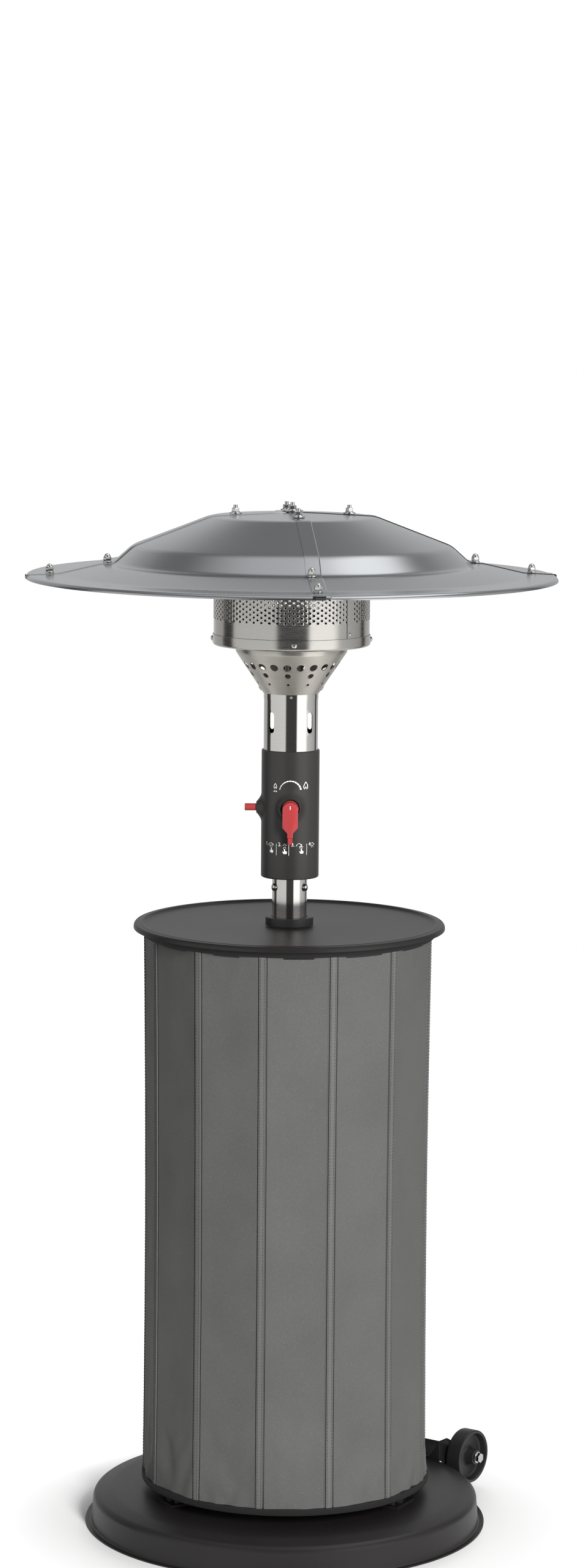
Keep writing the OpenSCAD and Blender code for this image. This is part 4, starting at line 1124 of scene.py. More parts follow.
@dataclass
class Studio:
    """Pale floor, soft light from all round and the camera of the photograph.

    Lengths are in metres. The camera's focal length is worked out from the photograph's scale.
    """

    frame_long: float = 2560.0
    focal_px: float = 6850.0
    sensor: float = 36.0
    camera_at: Point3 = (0.0023, -6.021, 1.866)
    pitch: float = 7.3
    roll: float = 0.45
    clip_end: float = 60.0
    floor_r: float = 1.7
    floor_t: float = 0.02
    floor_colour: str = "#fbfbfa"
    floor_roughness: float = 0.8
    fade: Point2 = (0.296, 0.4)
    fill: float = 0.12
    gain: float = 1.7
    below: float = 0.7
    below_share: float = 0.72
    below_span: Point2 = (-0.5, -0.72)
    roof_span: Point2 = (0.42, 0.6)
    walls: tuple[tuple[float, float], ...] = (
        (-180, 0.39), (-158, 0.38), (-150, 0.3), (-122, 0.28), (-118, 0.03), (-98, 0.03),
        (-94, 0.44), (-24, 0.47), (-19, 0.035), (24, 0.035), (28, 0.9), (66, 0.9),
        (76, 0.42), (122, 0.26), (126, 0.03), (134, 0.03), (138, 0.28), (180, 0.39),
    )
    ceiling: tuple[tuple[float, float], ...] = (
        (0.5, 0.26), (0.66, 0.14), (0.8, 0.12), (0.97, 0.46),
    )
    roof_lamp: tuple[tuple[int, float, float], ...] = (
        (0, 0.1, 0.3), (0, 0.75, 0.5), (2, 0.7, 0.82),
    )
    aim: Point3 = (0, 0, 0.8)
    lamp_set: tuple[Lamp, ...] = (
        Lamp("key_lamp", (1.6, -4.5, 2.2), (0.6, 2.2), 410.0),
        Lamp("right_lamp", (4.2, -1.2, 1.8), (1.6, 2.6), 4.0),
        Lamp("rear_lamp", (0.5, 4.4, 2.8), (2.4, 2.0), 95.0),
    )

    def build(self) -> None:
        """Makes the world, the floor, the lamps and the camera."""
        self.world()
        self.floor()
        self.lamps()
        self.camera()
        bpy.context.scene.view_settings.view_transform = "Standard"

    def world(self) -> None:
        """Soft room of pale walls, with the dark gaps that a studio has between its screens.

        A column of the ramp is a direction round the heater, from the rear over the right, the
        front and the left. The camera sees plain white, and soft light a plain grey.
        """
        world = bpy.data.worlds.new("studio")
        bpy.context.scene.world = world
        world.use_nodes = True
        tree = world.node_tree
        tree.nodes.clear()
        way = add_node(tree, "ShaderNodeTexCoord").outputs["Generated"]
        parts = add_node(tree, "ShaderNodeSeparateXYZ", inputs={0: way}).outputs
        back = add_node(
            tree, "ShaderNodeMath", {"operation": "MULTIPLY"}, {0: parts[1], 1: -1.0}
        ).outputs[0]
        turn = add_node(
            tree, "ShaderNodeMath", {"operation": "ARCTAN2"}, {0: parts[0], 1: back}
        ).outputs[0]
        share, rise, sink = (
            add_node(
                tree, "ShaderNodeMapRange",
                inputs={"Value": value, "From Min": near, "From Max": far, "To Max": most},
            ).outputs[0]
            for value, near, far, most in (
                (turn, -math.pi, math.pi, 1.0), (parts[2], *self.roof_span, 1.0),
                (parts[2], *self.below_span, self.below_share),
            )
        )
        around = add_node(tree, "ShaderNodeValToRGB", inputs={0: share})
        self.steps(around.color_ramp, self.walls)
        above = add_node(tree, "ShaderNodeValToRGB", inputs={0: parts[2]})
        self.ramp(above.color_ramp, self.ceiling)
        glow: Socket | float = 1.0
        for axis, near, far in self.roof_lamp:
            patch = add_node(
                tree, "ShaderNodeMapRange", {"interpolation_type": "SMOOTHSTEP"},
                {"Value": parts[axis], "From Min": near, "From Max": far},
            ).outputs[0]
            glow = add_node(
                tree, "ShaderNodeMath", {"operation": "MULTIPLY"}, {0: glow, 1: patch}
            ).outputs[0]
        seen = around.outputs[0]
        roof = above.outputs[0]
        grey = (self.below,) * 3 + (1,)
        roof = add_node(
            tree, "ShaderNodeMix", {"data_type": "RGBA"}, {0: glow, 6: roof, 7: WHITE}
        ).outputs[2]
        for part, other in ((rise, roof), (sink, grey)):
            seen = add_node(
                tree, "ShaderNodeMix", {"data_type": "RGBA"}, {0: part, 6: seen, 7: other}
            ).outputs[2]
        lit, soft, white = (
            add_node(tree, "ShaderNodeBackground", inputs={0: colour, 1: strength}).outputs[0]
            for colour, strength in (
                (seen, self.gain), ((self.fill,) * 3 + (1,), 1.0), (WHITE, 1.0),
            )
        )
        rays = add_node(tree, "ShaderNodeLightPath").outputs
        shiny = add_node(
            tree, "ShaderNodeMath", {"operation": "MAXIMUM"},
            {0: rays["Is Glossy Ray"], 1: rays["Is Transmission Ray"]},
        ).outputs[0]
        shown = soft
        for part, other in ((shiny, lit), (rays["Is Camera Ray"], white)):
            shown = add_node(
                tree, "ShaderNodeMixShader", inputs={0: part, 1: shown, 2: other}
            ).outputs[0]
        add_node(tree, "ShaderNodeOutputWorld", inputs={0: shown})

    def steps(self, ramp: bpy.types.ColorRamp, stops: Sequence[tuple[float, float]]) -> None:
        """Sets a ramp over a full turn from pairs of an angle and a brightness."""
        self.ramp(ramp, [((angle + 180) / 360, value) for angle, value in stops])

    def ramp(self, ramp: bpy.types.ColorRamp, stops: Sequence[tuple[float, float]]) -> None:
        """Sets a grey ramp from pairs of a position and a brightness.

        Args:
            ramp: The ramp.
            stops: The pairs, in rising order.
        """
        for element, (at, value) in zip(ramp.elements, (stops[0], stops[-1])):
            element.position = at
            element.color = (value, value, value, 1)
        for at, value in stops[1:-1]:
            ramp.elements.new(at).color = (value, value, value, 1)

    def floor(self) -> None:
        """Pale floor that keeps the shadow near the heater and fades to white far away."""
        shell = Shell()
        wide, low = self.floor_r / MM, -self.floor_t / MM
        shell.turned([(wide, 0.0), (0.0, 0.0), (0.0, low), (wide, low)], 96)
        ground = as_object("floor", shell.mesh("floor"))
        made = bpy.data.materials.new("floor_paper")
        made.use_nodes = True
        tree = made.node_tree
        shader = tree.nodes["Principled BSDF"]
        shader.inputs["Base Color"].default_value = linear(self.floor_colour)
        shader.inputs["Roughness"].default_value = self.floor_roughness
        place = add_node(tree, "ShaderNodeTexCoord").outputs["Object"]
        far = add_node(
            tree, "ShaderNodeVectorMath", {"operation": "LENGTH"}, {0: place}
        ).outputs["Value"]
        fade = add_node(
            tree, "ShaderNodeMapRange",
            inputs={"Value": far, "From Min": self.fade[0], "From Max": self.fade[1]},
        ).outputs[0]
        seen = add_node(tree, "ShaderNodeLightPath").outputs["Is Camera Ray"]
        shown = add_node(
            tree, "ShaderNodeMath", {"operation": "MULTIPLY"}, {0: fade, 1: seen}
        ).outputs[0]
        glow = add_node(tree, "ShaderNodeEmission", inputs={0: WHITE, 1: 1.0}).outputs[0]
        mixed = add_node(
            tree, "ShaderNodeMixShader", inputs={0: shown, 1: shader.outputs[0], 2: glow}
        ).outputs[0]
        tree.links.new(mixed, tree.nodes["Material Output"].inputs[0])
        ground.data.materials.append(made)

    def lamps(self) -> None:
        """Large soft lamps: one high in front, a weak one at the right and one behind."""
        for each in self.lamp_set:
            light = bpy.data.lights.new(each.name, "AREA")
            light.shape, light.energy = "RECTANGLE", each.power
            light.size, light.size_y = each.size
            lamp = bpy.data.objects.new(each.name, light)
            lamp.location = each.at
            way = Vector(each.at) - Vector(self.aim)
            lamp.rotation_euler = way.to_track_quat("Z", "Y").to_euler()
            lamp.visible_glossy = False
            bpy.context.scene.collection.objects.link(lamp)

    def camera(self) -> None:
        """Camera a long way off, a little above the heater, as the photograph was taken."""
        data = bpy.data.cameras.new("camera")
        data.sensor_width = self.sensor
        data.lens = self.focal_px / self.frame_long * self.sensor
        data.clip_end = self.clip_end
        made = bpy.data.objects.new("camera", data)
        bpy.context.scene.collection.objects.link(made)
        tilt = Matrix.Rotation(math.radians(90 - self.pitch), 4, "X")
        roll = Matrix.Rotation(math.radians(self.roll), 4, "Z")
        made.matrix_world = Matrix.Translation(self.camera_at) @ tilt @ roll
        bpy.context.scene.camera = made


def upright(angle: float, height: float = 0.0) -> Matrix:
    """Frame at a height whose Z axis points outwards at an angle round the mast, in degrees.

    Args:
        angle: The angle, in degrees.
        height: The height, in millimetres.

    Returns:
        The frame.
    """
    turn = Matrix.Rotation(math.radians(angle), 4, "Z") @ Matrix.Rotation(math.pi / 2, 4, "Y")
    return Matrix.Translation((0, 0, height)) @ turn


def nut(across_flats: float, height: float) -> Shell:
    """A hexagon nut with its chamfered corners, standing on the origin.

    Args:
        across_flats: Width across its flats.
        height: Its height.

    Returns:
        The nut.
    """
    made = Shell()
    radius = across_flats / math.sqrt(3)
    flats = [(radius * math.cos(TURN * k / 6), radius * math.sin(TURN * k / 6)) for k in range(6)]
    slim = [(x * 0.9, y * 0.9) for x, y in flats]
    levels = [(slim, 0.0), (flats, 0.12 * height), (flats, 0.86 * height), (slim, height)]
    made.grid([[(x, y, z) for x, y in ring] for ring, z in levels], closed=True)
    made.add([(x, y, 0.0) for x, y in slim], [tuple(range(5, -1, -1))])
    made.add([(x, y, height) for x, y in slim], [tuple(range(6))])
    return made


def cap_nut(across_flats: float, hex_h: float, dome_r: float) -> Shell:
    """A domed cap nut, standing on the origin.

    Args:
        across_flats: Width across its flats.
        hex_h: Height of its hexagon.
        dome_r: Radius of its dome.

    Returns:
        The nut.
    """
    made = nut(across_flats, hex_h)
    made.turned([(0.0, hex_h - 0.4), *arc((0.0, hex_h), dome_r, 0, 90, 7)], 24)
    return made


def domed_head(radius: float, height: float, washer: float = 0.0) -> Shell:
    """A round headed screw or rivet, with a flat washer under it where washer is set.

    Args:
        radius: Radius of the head.
        height: Height of the head.
        washer: How far the washer stands out round the head.

    Returns:
        The head, standing on the origin.
    """
    made = Shell()
    base = 0.0
    if washer:
        made.rod(radius + washer, 0.0, 0.8, 28)
        base = 0.7
    bulge = [
        (radius * math.cos(t), base + 0.2 + (height - 0.2) * math.sin(t))
        for t in map(math.radians, (0, 20, 40, 60, 78))
    ]
    made.turned([(0.0, base), (radius, base), *bulge, (0.0, base + height)], 28)
    return made


def cross_head(radius: float, height: float) -> Shell:
    """A pan head screw whose cross recess is cut out of its top.

    Args:
        radius: Radius of the head.
        height: Height of the head.

    Returns:
        The head, standing on the origin.
    """
    cutter = Shell()
    arm, half = radius * 0.52, radius * 0.1
    for way in (20, 110):
        cutter.block(
            (-arm, -half, height * 0.45), (arm, half, height + 1),
            Matrix.Rotation(math.radians(way), 4, "Z"),
        )
    mesh = cut_from("cross_head", domed_head(radius, height), cutter, FINEST)
    made = Shell()
    made.add(
        [tuple(c / MM for c in v.co) for v in mesh.vertices],
        [tuple(p.vertices) for p in mesh.polygons],
    )
    bpy.data.meshes.remove(mesh)
    return made


@dataclass
class Base:
    """The pressed base pan, which stands on its flange."""

    flange_r: float = 294.0
    wall_r: float = 285.0
    height: float = 50.0
    flat_r: float = 250.0
    sheet: float = 2.0
    shoulder: float = 11.0
    shoulder_end: float = 75.0
    shoulder_drop: float = 5.5
    wall_low: float = 6.0
    brim_out: float = 2.4
    dish_w: float = 8.0
    dish_h: float = 1.4
    middle_r: float = 40.0

    def build(self) -> None:
        """Presses the pan out of one sheet."""
        end = self.shoulder_end
        arc_z = self.height - self.shoulder_drop - self.shoulder * math.sin(math.radians(end))
        arc_r = self.wall_r - 2 - self.shoulder
        path = [
            (self.flange_r, self.sheet), (self.wall_r + self.brim_out, self.sheet),
            (self.wall_r + 0.6, self.sheet + 1.4), (self.wall_r, self.wall_low),
            *arc((arc_r, arc_z), self.shoulder, 0, end, 12),
            (self.flat_r + self.dish_w, self.height - self.dish_h), (self.flat_r, self.height),
            (self.middle_r, self.height), (0.0, self.height),
        ]
        shell = Shell()
        shell.turned(walled(path, self.sheet), BROAD_SEGMENTS)
        piece("base_pan_sheet", shell, Palette.BLACK_PAINT, "stand", ["base_pan"])


@dataclass
class Wheels:
    """Two moulded wheels behind the base, each on its own bolt."""

    tread_r: float = 40.0
    width: float = 25.8
    tyre: float = 6.0
    tyre_round: float = 4.5
    rim_round: float = 2.2
    hub_r: float = 13.0
    bore_r: float = 4.1
    inner_face: float = 109.0
    end: float = 139.8
    turn: float = 35.8
    axle_out: float = 302.0
    axle_z: float = 46.4

    def frame_of(self, side: int) -> Matrix:
        """Frame of a wheel, its Z axis along the axle and outwards: side is 1 or -1.

        Args:
            side: 1 for the right wheel, -1 for the left one.

        Returns:
            The frame.
        """
        return (
            Matrix.Rotation(math.radians(-self.turn), 4, "Z")
            @ Matrix.Translation((0, self.axle_out, self.axle_z))
            @ Matrix.Rotation(side * math.pi / 2, 4, "Y")
        )

    def section(self) -> list[Point2]:
        """Section of the wheel: rounded tread, web sunk on both sides and a long hub.

        Returns:
            The section, closed by its bore.
        """
        near, far = self.inner_face, self.inner_face + self.width
        web = (near + far) / 2 - 4
        r, inner, outer = self.tread_r, self.tyre_round, self.rim_round
        return [
            (self.bore_r, near - 2), (self.hub_r, near - 2), (self.hub_r + 1, web - 2.5),
            (self.hub_r + 3, web), (r - self.tyre, web), (r - self.tyre + 0.8, near + 1.5),
            *arc((r - inner, near + inner), inner, -100, 0, 7),
            *arc((r - outer, far - outer), outer, 0, 100, 5), (r - 4.4, far - 0.3),
            (r - 5.2, far - 1.6),
            (r - self.tyre, web + 8), *arc((r - self.tyre - 3, web + 8), 3, 0, -90, 4),
            (self.hub_r + 4, web + 5), (self.hub_r + 1, web + 6.5), (self.hub_r - 1, web + 10),
            (self.hub_r - 2, self.end - 0.8), (self.hub_r - 2.8, self.end), (self.bore_r, self.end),
        ]

    def build(self) -> None:
        """Moulds both wheels."""
        for side, name in ((1, "wheel_right"), (-1, "wheel_left")):
            shell = Shell()
            shell.turned(self.section(), 96, frame_of=self.frame_of(side))
            piece(f"{name}_moulding", shell, Palette.BLACK_PLASTIC, name, [name])


@dataclass
class Table:
    """Round table sheet with its raised rim, and the collar round the mast."""

    top_z: float = 889.5
    radius: float = 226.0
    sheet: float = 1.2
    rim_w: float = 11.0
    rim_h: float = 3.5
    crest_r: float = 3.4
    edge_r: float = 6.0
    edge_drop: float = 2.4
    corner: float = 1.2
    skirt: float = 4.6
    bore_r: float = 30.05
    collar_r: float = 34.8
    collar_h: float = 12.0
    collar_round: float = 1.6
    collar_lip: float = 4.9
    seat_h: float = 0.6
    mast_r: float = 25.4
    mast_gap: float = 0.6
    chamfer: float = 0.8

    def build(self) -> None:
        """Presses the table and turns the collar."""
        crest = self.radius - self.rim_w
        z = self.top_z
        path = [
            (self.bore_r, z + self.seat_h), (self.collar_r + 1.5, z + self.seat_h),
            (self.collar_r + 2.5, z), (crest - 7, z), (crest - 4, z + 0.3 * self.rim_h),
            *arc((crest, z + self.rim_h - self.crest_r), self.crest_r, 125, 60, 8),
            *arc((self.radius - self.edge_r, z - self.edge_drop), self.edge_r, 55, 0, 8),
            (self.radius, z - self.skirt),
        ]
        shell = Shell()
        shell.turned(walled(eased(path, self.corner, 3), -self.sheet), BROAD_SEGMENTS)
        piece("table_sheet", shell, Palette.BLACK_PAINT, "stand", ["table_top"])
        top, mouth = z + self.collar_h, self.mast_r + self.mast_gap
        ring = Shell()
        ring.turned(
            [
                (self.bore_r, z + self.seat_h), (self.collar_r, z + self.seat_h),
                *arc(
                    (self.collar_r - self.collar_round, top - self.collar_round),
                    self.collar_round, 0, 90, 5,
                ),
                (mouth + self.chamfer, top), (mouth, top - self.chamfer),
                (mouth, top - self.collar_lip), (self.bore_r, top - self.collar_lip),
            ]
        )
        piece("collar_ring", ring, Palette.BLACK_PLASTIC, "stand", ["mast_collar"])


@dataclass
class Sleeve:
    """Woven cover of the bottle bay: narrow panels joined by top-stitched strips."""

    top_r: float = 211.0
    waist: float = 2.6
    panels: int = 13
    cloth: float = 0.9
    strip: float = 9.0
    strip_lift: float = 0.7
    strip_top: float = 0.35
    strip_under: float = -0.5
    strip_folds: tuple[float, ...] = (-1, -0.85, 0, 0.85, 1)
    groove: float = 3.2
    strip_sides: tuple[float, ...] = (-1.36, -1.1, -0.98, -0.8, 0.0, 0.8, 0.98, 1.1, 1.36)
    parts: tuple[float, ...] = (
        0.03, 0.08, 0.15, 0.22, 0.29, 0.36, 0.43, 0.5, 0.57, 0.64, 0.71, 0.78, 0.85, 0.92, 0.97,
    )
    foot_z: float = 76.9
    top_z: float = 877.7
    first_seam: float = -10.2
    hem_z: float = 67.0
    hem_w: float = 9.8
    band_w: float = 8.6
    band_lap: float = 2.5
    rows: int = 120
    stitch_inset: float = 1.5
    stitch_pitch: float = 4.6
    stitch_lift: float = 0.45
    stitch_steps: int = 40

    def share(self, z: float) -> float:
        """Height as a share of the cloth, 0 at its foot and 1 at its top."""
        return (z - self.foot_z) / (self.top_z - self.foot_z)

    def radius(self, z: float) -> float:
        """Radius of the seams at a height."""
        f = self.share(z)
        return self.top_r - self.waist * math.sin(math.pi * f) - (1 - f) * 0.8

    def creases(self, part: float, z: float, panel: int) -> float:
        """Folds of the cloth in millimetres, strongest where the strips pull at the hem.

        Args:
            part: Way from one strip to the next, from 0 to 1.
            z: Height of the point.
            panel: Which panel, counted anticlockwise.

        Returns:
            How far the cloth stands out.
        """
        f = self.share(z)
        low = max(0.0, 1 - f / 0.2)
        high = max(0.0, 1 - (1 - f) / 0.12)
        broad = noise.noise(Vector((part * 1.6, z / 170.0, panel * 7.3)))
        slant = (part - 0.5) * 2
        pull = noise.noise(
            Vector((slant * 1.5 + panel * 3.1, (z - self.foot_z) / 42.0 - abs(slant) * 1.6, 5.0))
        )
        fine = noise.noise(Vector((part * 5.0, z / 16.0, panel * 9.1 + 50)))
        middle = noise.noise(Vector((part * 1.4 + z / 190.0, z / 38.0, panel * 4.7 + 20)))
        soft = 1.2 * broad + 1.5 * middle
        return soft + pull * 6.5 * low**1.2 + fine * (0.2 + 0.9 * high + 0.7 * low)

    def point(self, panel: int, part: float, z: float) -> Point3:
        """Point of the cloth's outer face: part runs from 0 to 1 between two strips.

        Args:
            panel: Which panel, counted anticlockwise.
            part: Way to the next strip.
            z: Height of the point.

        Returns:
            The point.
        """
        pitch = 360 / self.panels
        strip = math.degrees(self.strip / 2 / self.top_r)
        span = pitch - 2 * strip
        r = self.radius(z) - self.strip_lift
        half = math.radians(span / 2)
        chord = r * math.cos(half) / math.cos(half * (2 * part - 1))
        hold = math.sin(math.pi * part)
        flat = 0.25 + 0.75 * min(1.0, self.share(z) / 0.05)
        r += (chord - r) * flat + self.creases(part, z, panel) * hold**0.7
        a = math.radians(self.first_seam + FRONT + pitch * panel + strip + span * part)
        return polar(r, a, z)

    def strip_point(self, panel: int, side: float, z: float) -> Point3:
        """Point of a seam strip: side runs from -1 to 1 across it.

        Args:
            panel: Which panel, counted anticlockwise.
            side: Way across the strip.
            z: Height of the point.

        Returns:
            The point.
        """
        strip = math.degrees(self.strip / 2 / self.top_r)
        a = math.radians(self.first_seam + FRONT + 360 / self.panels * panel + side * strip)
        pucker = 0.15 * noise.noise(Vector((panel * 5.0, z / 11.0, side)))
        groove = self.groove if abs(side) > 1 else 0.0
        r = self.radius(z) + pucker - 0.3 * min(1.0, abs(side)) ** 4 - groove
        return polar(r, a, z)

    def row(self, z: float, inset: float) -> list[Point3]:
        """One level of the cloth, moved inwards by an inset.

        Args:
            z: Height of the point.
            inset: How far it moves inwards.

        Returns:
            The points.
        """
        out: list[Point3] = []
        for panel in range(self.panels):
            out += [self.strip_point(panel, side, z) for side in self.strip_sides]
            out += [self.point(panel, part, z) for part in self.parts]
        trimmed = []
        for x, y, height in out:
            r = math.hypot(x, y)
            trimmed.append((x * (r - inset) / r, y * (r - inset) / r, height))
        return trimmed

    def build(self) -> None:
        """Sews the cloth, its binding, its top band, its strips and the stitches."""
        levels = [
            self.foot_z + (self.top_z - self.foot_z) * i / self.rows for i in range(self.rows + 1)
        ]
        shell = Shell()
        outer = [self.row(z, 0.0) for z in levels]
        inner = [self.row(z, self.cloth) for z in levels]
        shell.grid([*outer, *reversed(inner), outer[0]], closed=True)
        mesh = shell.mesh("sleeve_cloth")
        self.lay_flat(mesh)
        cloth = piece("sleeve_cloth", mesh, Palette.CLOTH, "stand", ["sleeve"], sharp=28)
        hem = Shell()
        r = self.top_r + 0.6
        mid = self.hem_z + self.hem_w / 2
        hem.turned(
            [
                *arc((r - 1.4, self.hem_z + 1.4), 1.4, -90, 0, 4),
                *arc((r - 1.4, self.hem_z + self.hem_w - 1.4), 1.4, 0, 90, 4),
                (r - 4, self.hem_z + self.hem_w), (r - 4, mid + 1.2), (r - 3.4, mid + 1.2),
                (r - 3.4, mid - 1.2), (r - 4, mid - 1.2), (r - 4, self.hem_z),
            ],
            208,
        )
        binding = piece("hem_binding", hem, Palette.BINDING, "stand", ["sleeve_hem"])
        low = self.top_z + 0.1
        band = Shell()
        inner_r = self.top_r - 3.7
        lap_r, lap_z = self.top_r + 0.1, low - self.band_lap
        band.turned(
            [
                (inner_r, low), (lap_r, low), (lap_r, lap_z),
                *arc((r - 0.1, lap_z + 0.3), 0.3, -90, 0, 3),
                *arc((r - 1.0, low + self.band_w - 1.2), 1.2, 0, 90, 3),
                (inner_r, low + self.band_w),
            ],
            208,
        )
        top = piece("top_band", band, Palette.BINDING, "stand", ["sleeve_band"])
        laid = self.strips(levels)
        # The strips take the lighter copy of the cloth: painted sheen.
        strips = piece("seam_strips", laid, Palette.CLOTH_STRIP, "stand", ["sleeve"])
        seams = self.stitches()

    def lay_flat(self, mesh: Mesh) -> None:
        """Gives the cloth a UV map in metres: along its girth and up.

        Args:
            mesh: The mesh of the cloth.
        """
        layer = mesh.uv_layers.new(name="cloth")
        for face in mesh.polygons:
            middle = math.atan2(face.center.y, face.center.x)
            for k in face.loop_indices:
                at = mesh.vertices[mesh.loops[k].vertex_index].co
                angle = math.atan2(at.y, at.x)
                angle += TURN * round((middle - angle) / TURN)
                layer.data[k].uv = (angle * self.top_r * MM, at.z)

    def strips(self, levels: Sequence[float]) -> Mesh:
        """Lays a strip of the same cloth over every seam.

        Args:
            levels: Heights of their points.

        Returns:
            The mesh of all strips.
        """
        made = Shell()
        for panel in range(self.panels):
            loops = []
            for z in levels:
                loop = []
                for raised, way in ((self.strip_top, 1), (self.strip_under, -1)):
                    for side in self.strip_folds[::way]:
                        x, y, _ = self.strip_point(panel, side, z)
                        out = 1 + raised / math.hypot(x, y)
                        loop.append((x * out, y * out, z))
                loops.append(loop)
            made.grid(loops, closed=True)
            caps = [(i, i + 1, 8 - i, 9 - i) for i in range(4)]
            made.add(loops[0], caps)
            made.add(loops[-1], [tuple(reversed(cap)) for cap in caps])
        mesh = made.mesh("seam_strips")
        self.lay_flat(mesh)
        return mesh

    def stitches(self) -> bpy.types.Object:
        """Sews two rows of stitches along every strip.

        Returns:
            The piece.
        """
        edges: list[tuple[int, int]] = []
        points: list[Point3] = []
        side = 1 - self.stitch_inset / (self.strip / 2)
        for panel in range(self.panels):
            for s in (-side, side):
                base = len(points)
                for i in range(self.stitch_steps + 1):
                    z = self.foot_z + 2 + (self.top_z - self.foot_z - 4) * i / self.stitch_steps
                    x, y, height = self.strip_point(panel, s, z)
                    r = math.hypot(x, y)
                    out = (r + self.stitch_lift) / r
                    points.append((x * out, y * out, height))
                    if i:
                        edges.append((base + i - 1, base + i))
        path = bpy.data.meshes.new("stitch_lines")
        path.from_pydata([tuple(c * MM for c in p) for p in points], edges, [])
        stitch = Shell()
        rings = [(-1.6, 0.12), (-1.1, 0.34), (1.1, 0.34), (1.6, 0.12)]
        stitch.grid(
            [
                [(x, r * math.cos(TURN * k / 5), r * math.sin(TURN * k / 5)) for k in range(5)]
                for x, r in rings
            ],
            closed=True,
        )
        stitch.faces += [(4, 3, 2, 1, 0), (15, 16, 17, 18, 19)]
        mesh = grown(
            stitching_tree(), "seam_stitches",
            {
                "Lines": as_object("stitch_lines", path),
                "Stitch": as_object("stitch", stitch.mesh("stitch")),
                "Pitch": self.stitch_pitch * MM, "Material": Palette.THREAD.material(),
            },
        )
        return piece("seam_stitches", mesh, Palette.THREAD, "stand")


@dataclass
class Bracket:
    """Bent sheet bracket with two ears, which carries the wheels behind the base."""

    half: float = 105.0
    sheet: float = 2.0
    back: float = 254.0
    bolt_line: float = 232.0
    bolt_half: float = 45.0
    foot_z: float = 50.0
    rise: float = 30.0
    hole_r: float = 4.1
    bolt_hole_r: float = 3.2
    wheels: Wheels = field(default_factory=Wheels)

    def ear(self) -> list[Point2]:
        """Outline of an ear, seen from its side: distance out and height.

        Returns:
            The outline, anticlockwise.
        """
        out, z = self.wheels.axle_out, self.wheels.axle_z
        top = z + self.rise
        nose = arc((out, z), 13.0, -58, 58, 12)
        return [
            (self.back, top), (self.back, self.foot_z - 4.5), (self.back + 4, self.foot_z - 5.5),
            (self.back + 8.5, self.foot_z - 9), (self.back + 12.5, self.foot_z - 14),
            (self.back + 15.5, z - 20), (out - 20, z - 25), (out - 7, z - 20), *nose,
            (self.back + 26, top - 3), (self.back + 20, top),
        ]

    def build(self) -> None:
        """Cuts and bends the bracket."""
        turn = Matrix.Rotation(math.radians(-self.wheels.turn), 4, "Z")
        top = self.wheels.axle_z + self.rise
        shell = Shell()
        half, low = self.half, self.foot_z
        edge = [(half, low - 5.3), (half - 20, low - 3.6), (half - 45, low - 1.8), (half - 65, low)]
        plate = [*edge, *((-s, z) for s, z in reversed(edge)), (-half, top), (half, top)]
        across = Matrix(((-1, 0, 0, 0), (0, 0, 1, 0), (0, 1, 0, 0), (0, 0, 0, 1)))
        shell.prism(plate, self.back - self.sheet, self.back, turn @ across)
        shell.block(
            (20 - self.half, self.bolt_line - 12, self.foot_z),
            (self.half - 20, self.back, self.foot_z + self.sheet), turn,
        )
        sideways = Matrix(((0, 0, 1, 0), (1, 0, 0, 0), (0, 1, 0, 0), (0, 0, 0, 1)))
        for side in (-self.half, self.half - self.sheet):
            shell.prism(self.ear(), side, side + self.sheet, turn @ sideways)
        blank = bevelled(shell.mesh("bracket_blank"), 0.5, 40, 2)
        drill = Shell()
        drill.rod(self.hole_r, -self.half - 5, self.half + 5, 32, self.wheels.frame_of(1))
        for side in (-self.bolt_half, self.bolt_half):
            at = turn @ Matrix.Translation((side, self.bolt_line, self.foot_z - 2))
            drill.rod(self.bolt_hole_r, 0.0, 8.0, 24, at)
        mesh = cut_from("bracket_blank", blank, drill)
        piece("bracket_sheet", mesh, Palette.FRAME_PAINT, "stand", ["wheel_bracket"])


@dataclass
class Mast:
    """Polished tube that slides in the table, and the three bolts under the housing."""

    radius: float = 25.4
    wall: float = 1.5
    foot_z: float = 76.3
    top_z: float = 960.0
    bolt_z: float = 945.5
    bolt_r: float = 5.4
    bolt_hole_r: float = 3.2
    shank_r: float = 2.95
    bolt_turns: tuple[float, ...] = (-149.0, -31.0, 90.0)

    def build(self) -> None:
        """Draws the tube and sets its bolts."""
        shell = Shell()
        inner = self.radius - self.wall
        shell.turned(
            [
                (self.radius, self.foot_z), (self.radius, self.top_z), (inner, self.top_z),
                (inner, self.foot_z),
            ],
            SMOOTH_SEGMENTS,
        )
        drill = Shell()
        for turn in self.bolt_turns:
            drill.rod(self.bolt_hole_r, 0.0, 40.0, 24, upright(turn, self.bolt_z))
        mesh = cut_from("mast_blank", shell, drill)
        piece("mast_tube_wall", mesh, Palette.POLISHED_STEEL, "mast", ["mast_tube"])
        heads = [
            ring_of(
                f"mast_bolt_{k}", self.head(), Palette.ZINC, 1, self.radius, self.bolt_z, turn,
                lean=90,
            )
            for k, turn in enumerate(self.bolt_turns)
        ]
        mesh = joined("mast_bolt_heads", heads)
        piece("mast_bolt_heads", mesh, Palette.ZINC, "mast", ["mast_bolts"])

    def head(self) -> Shell:
        """Dome head with its shank through the wall of the tube.

        Returns:
            The bolt, its seat at the origin.
        """
        made = domed_head(self.bolt_r, 3.6, washer=0.7)
        made.rod(self.shank_r, -9.0, 0.4, 24)
        return made


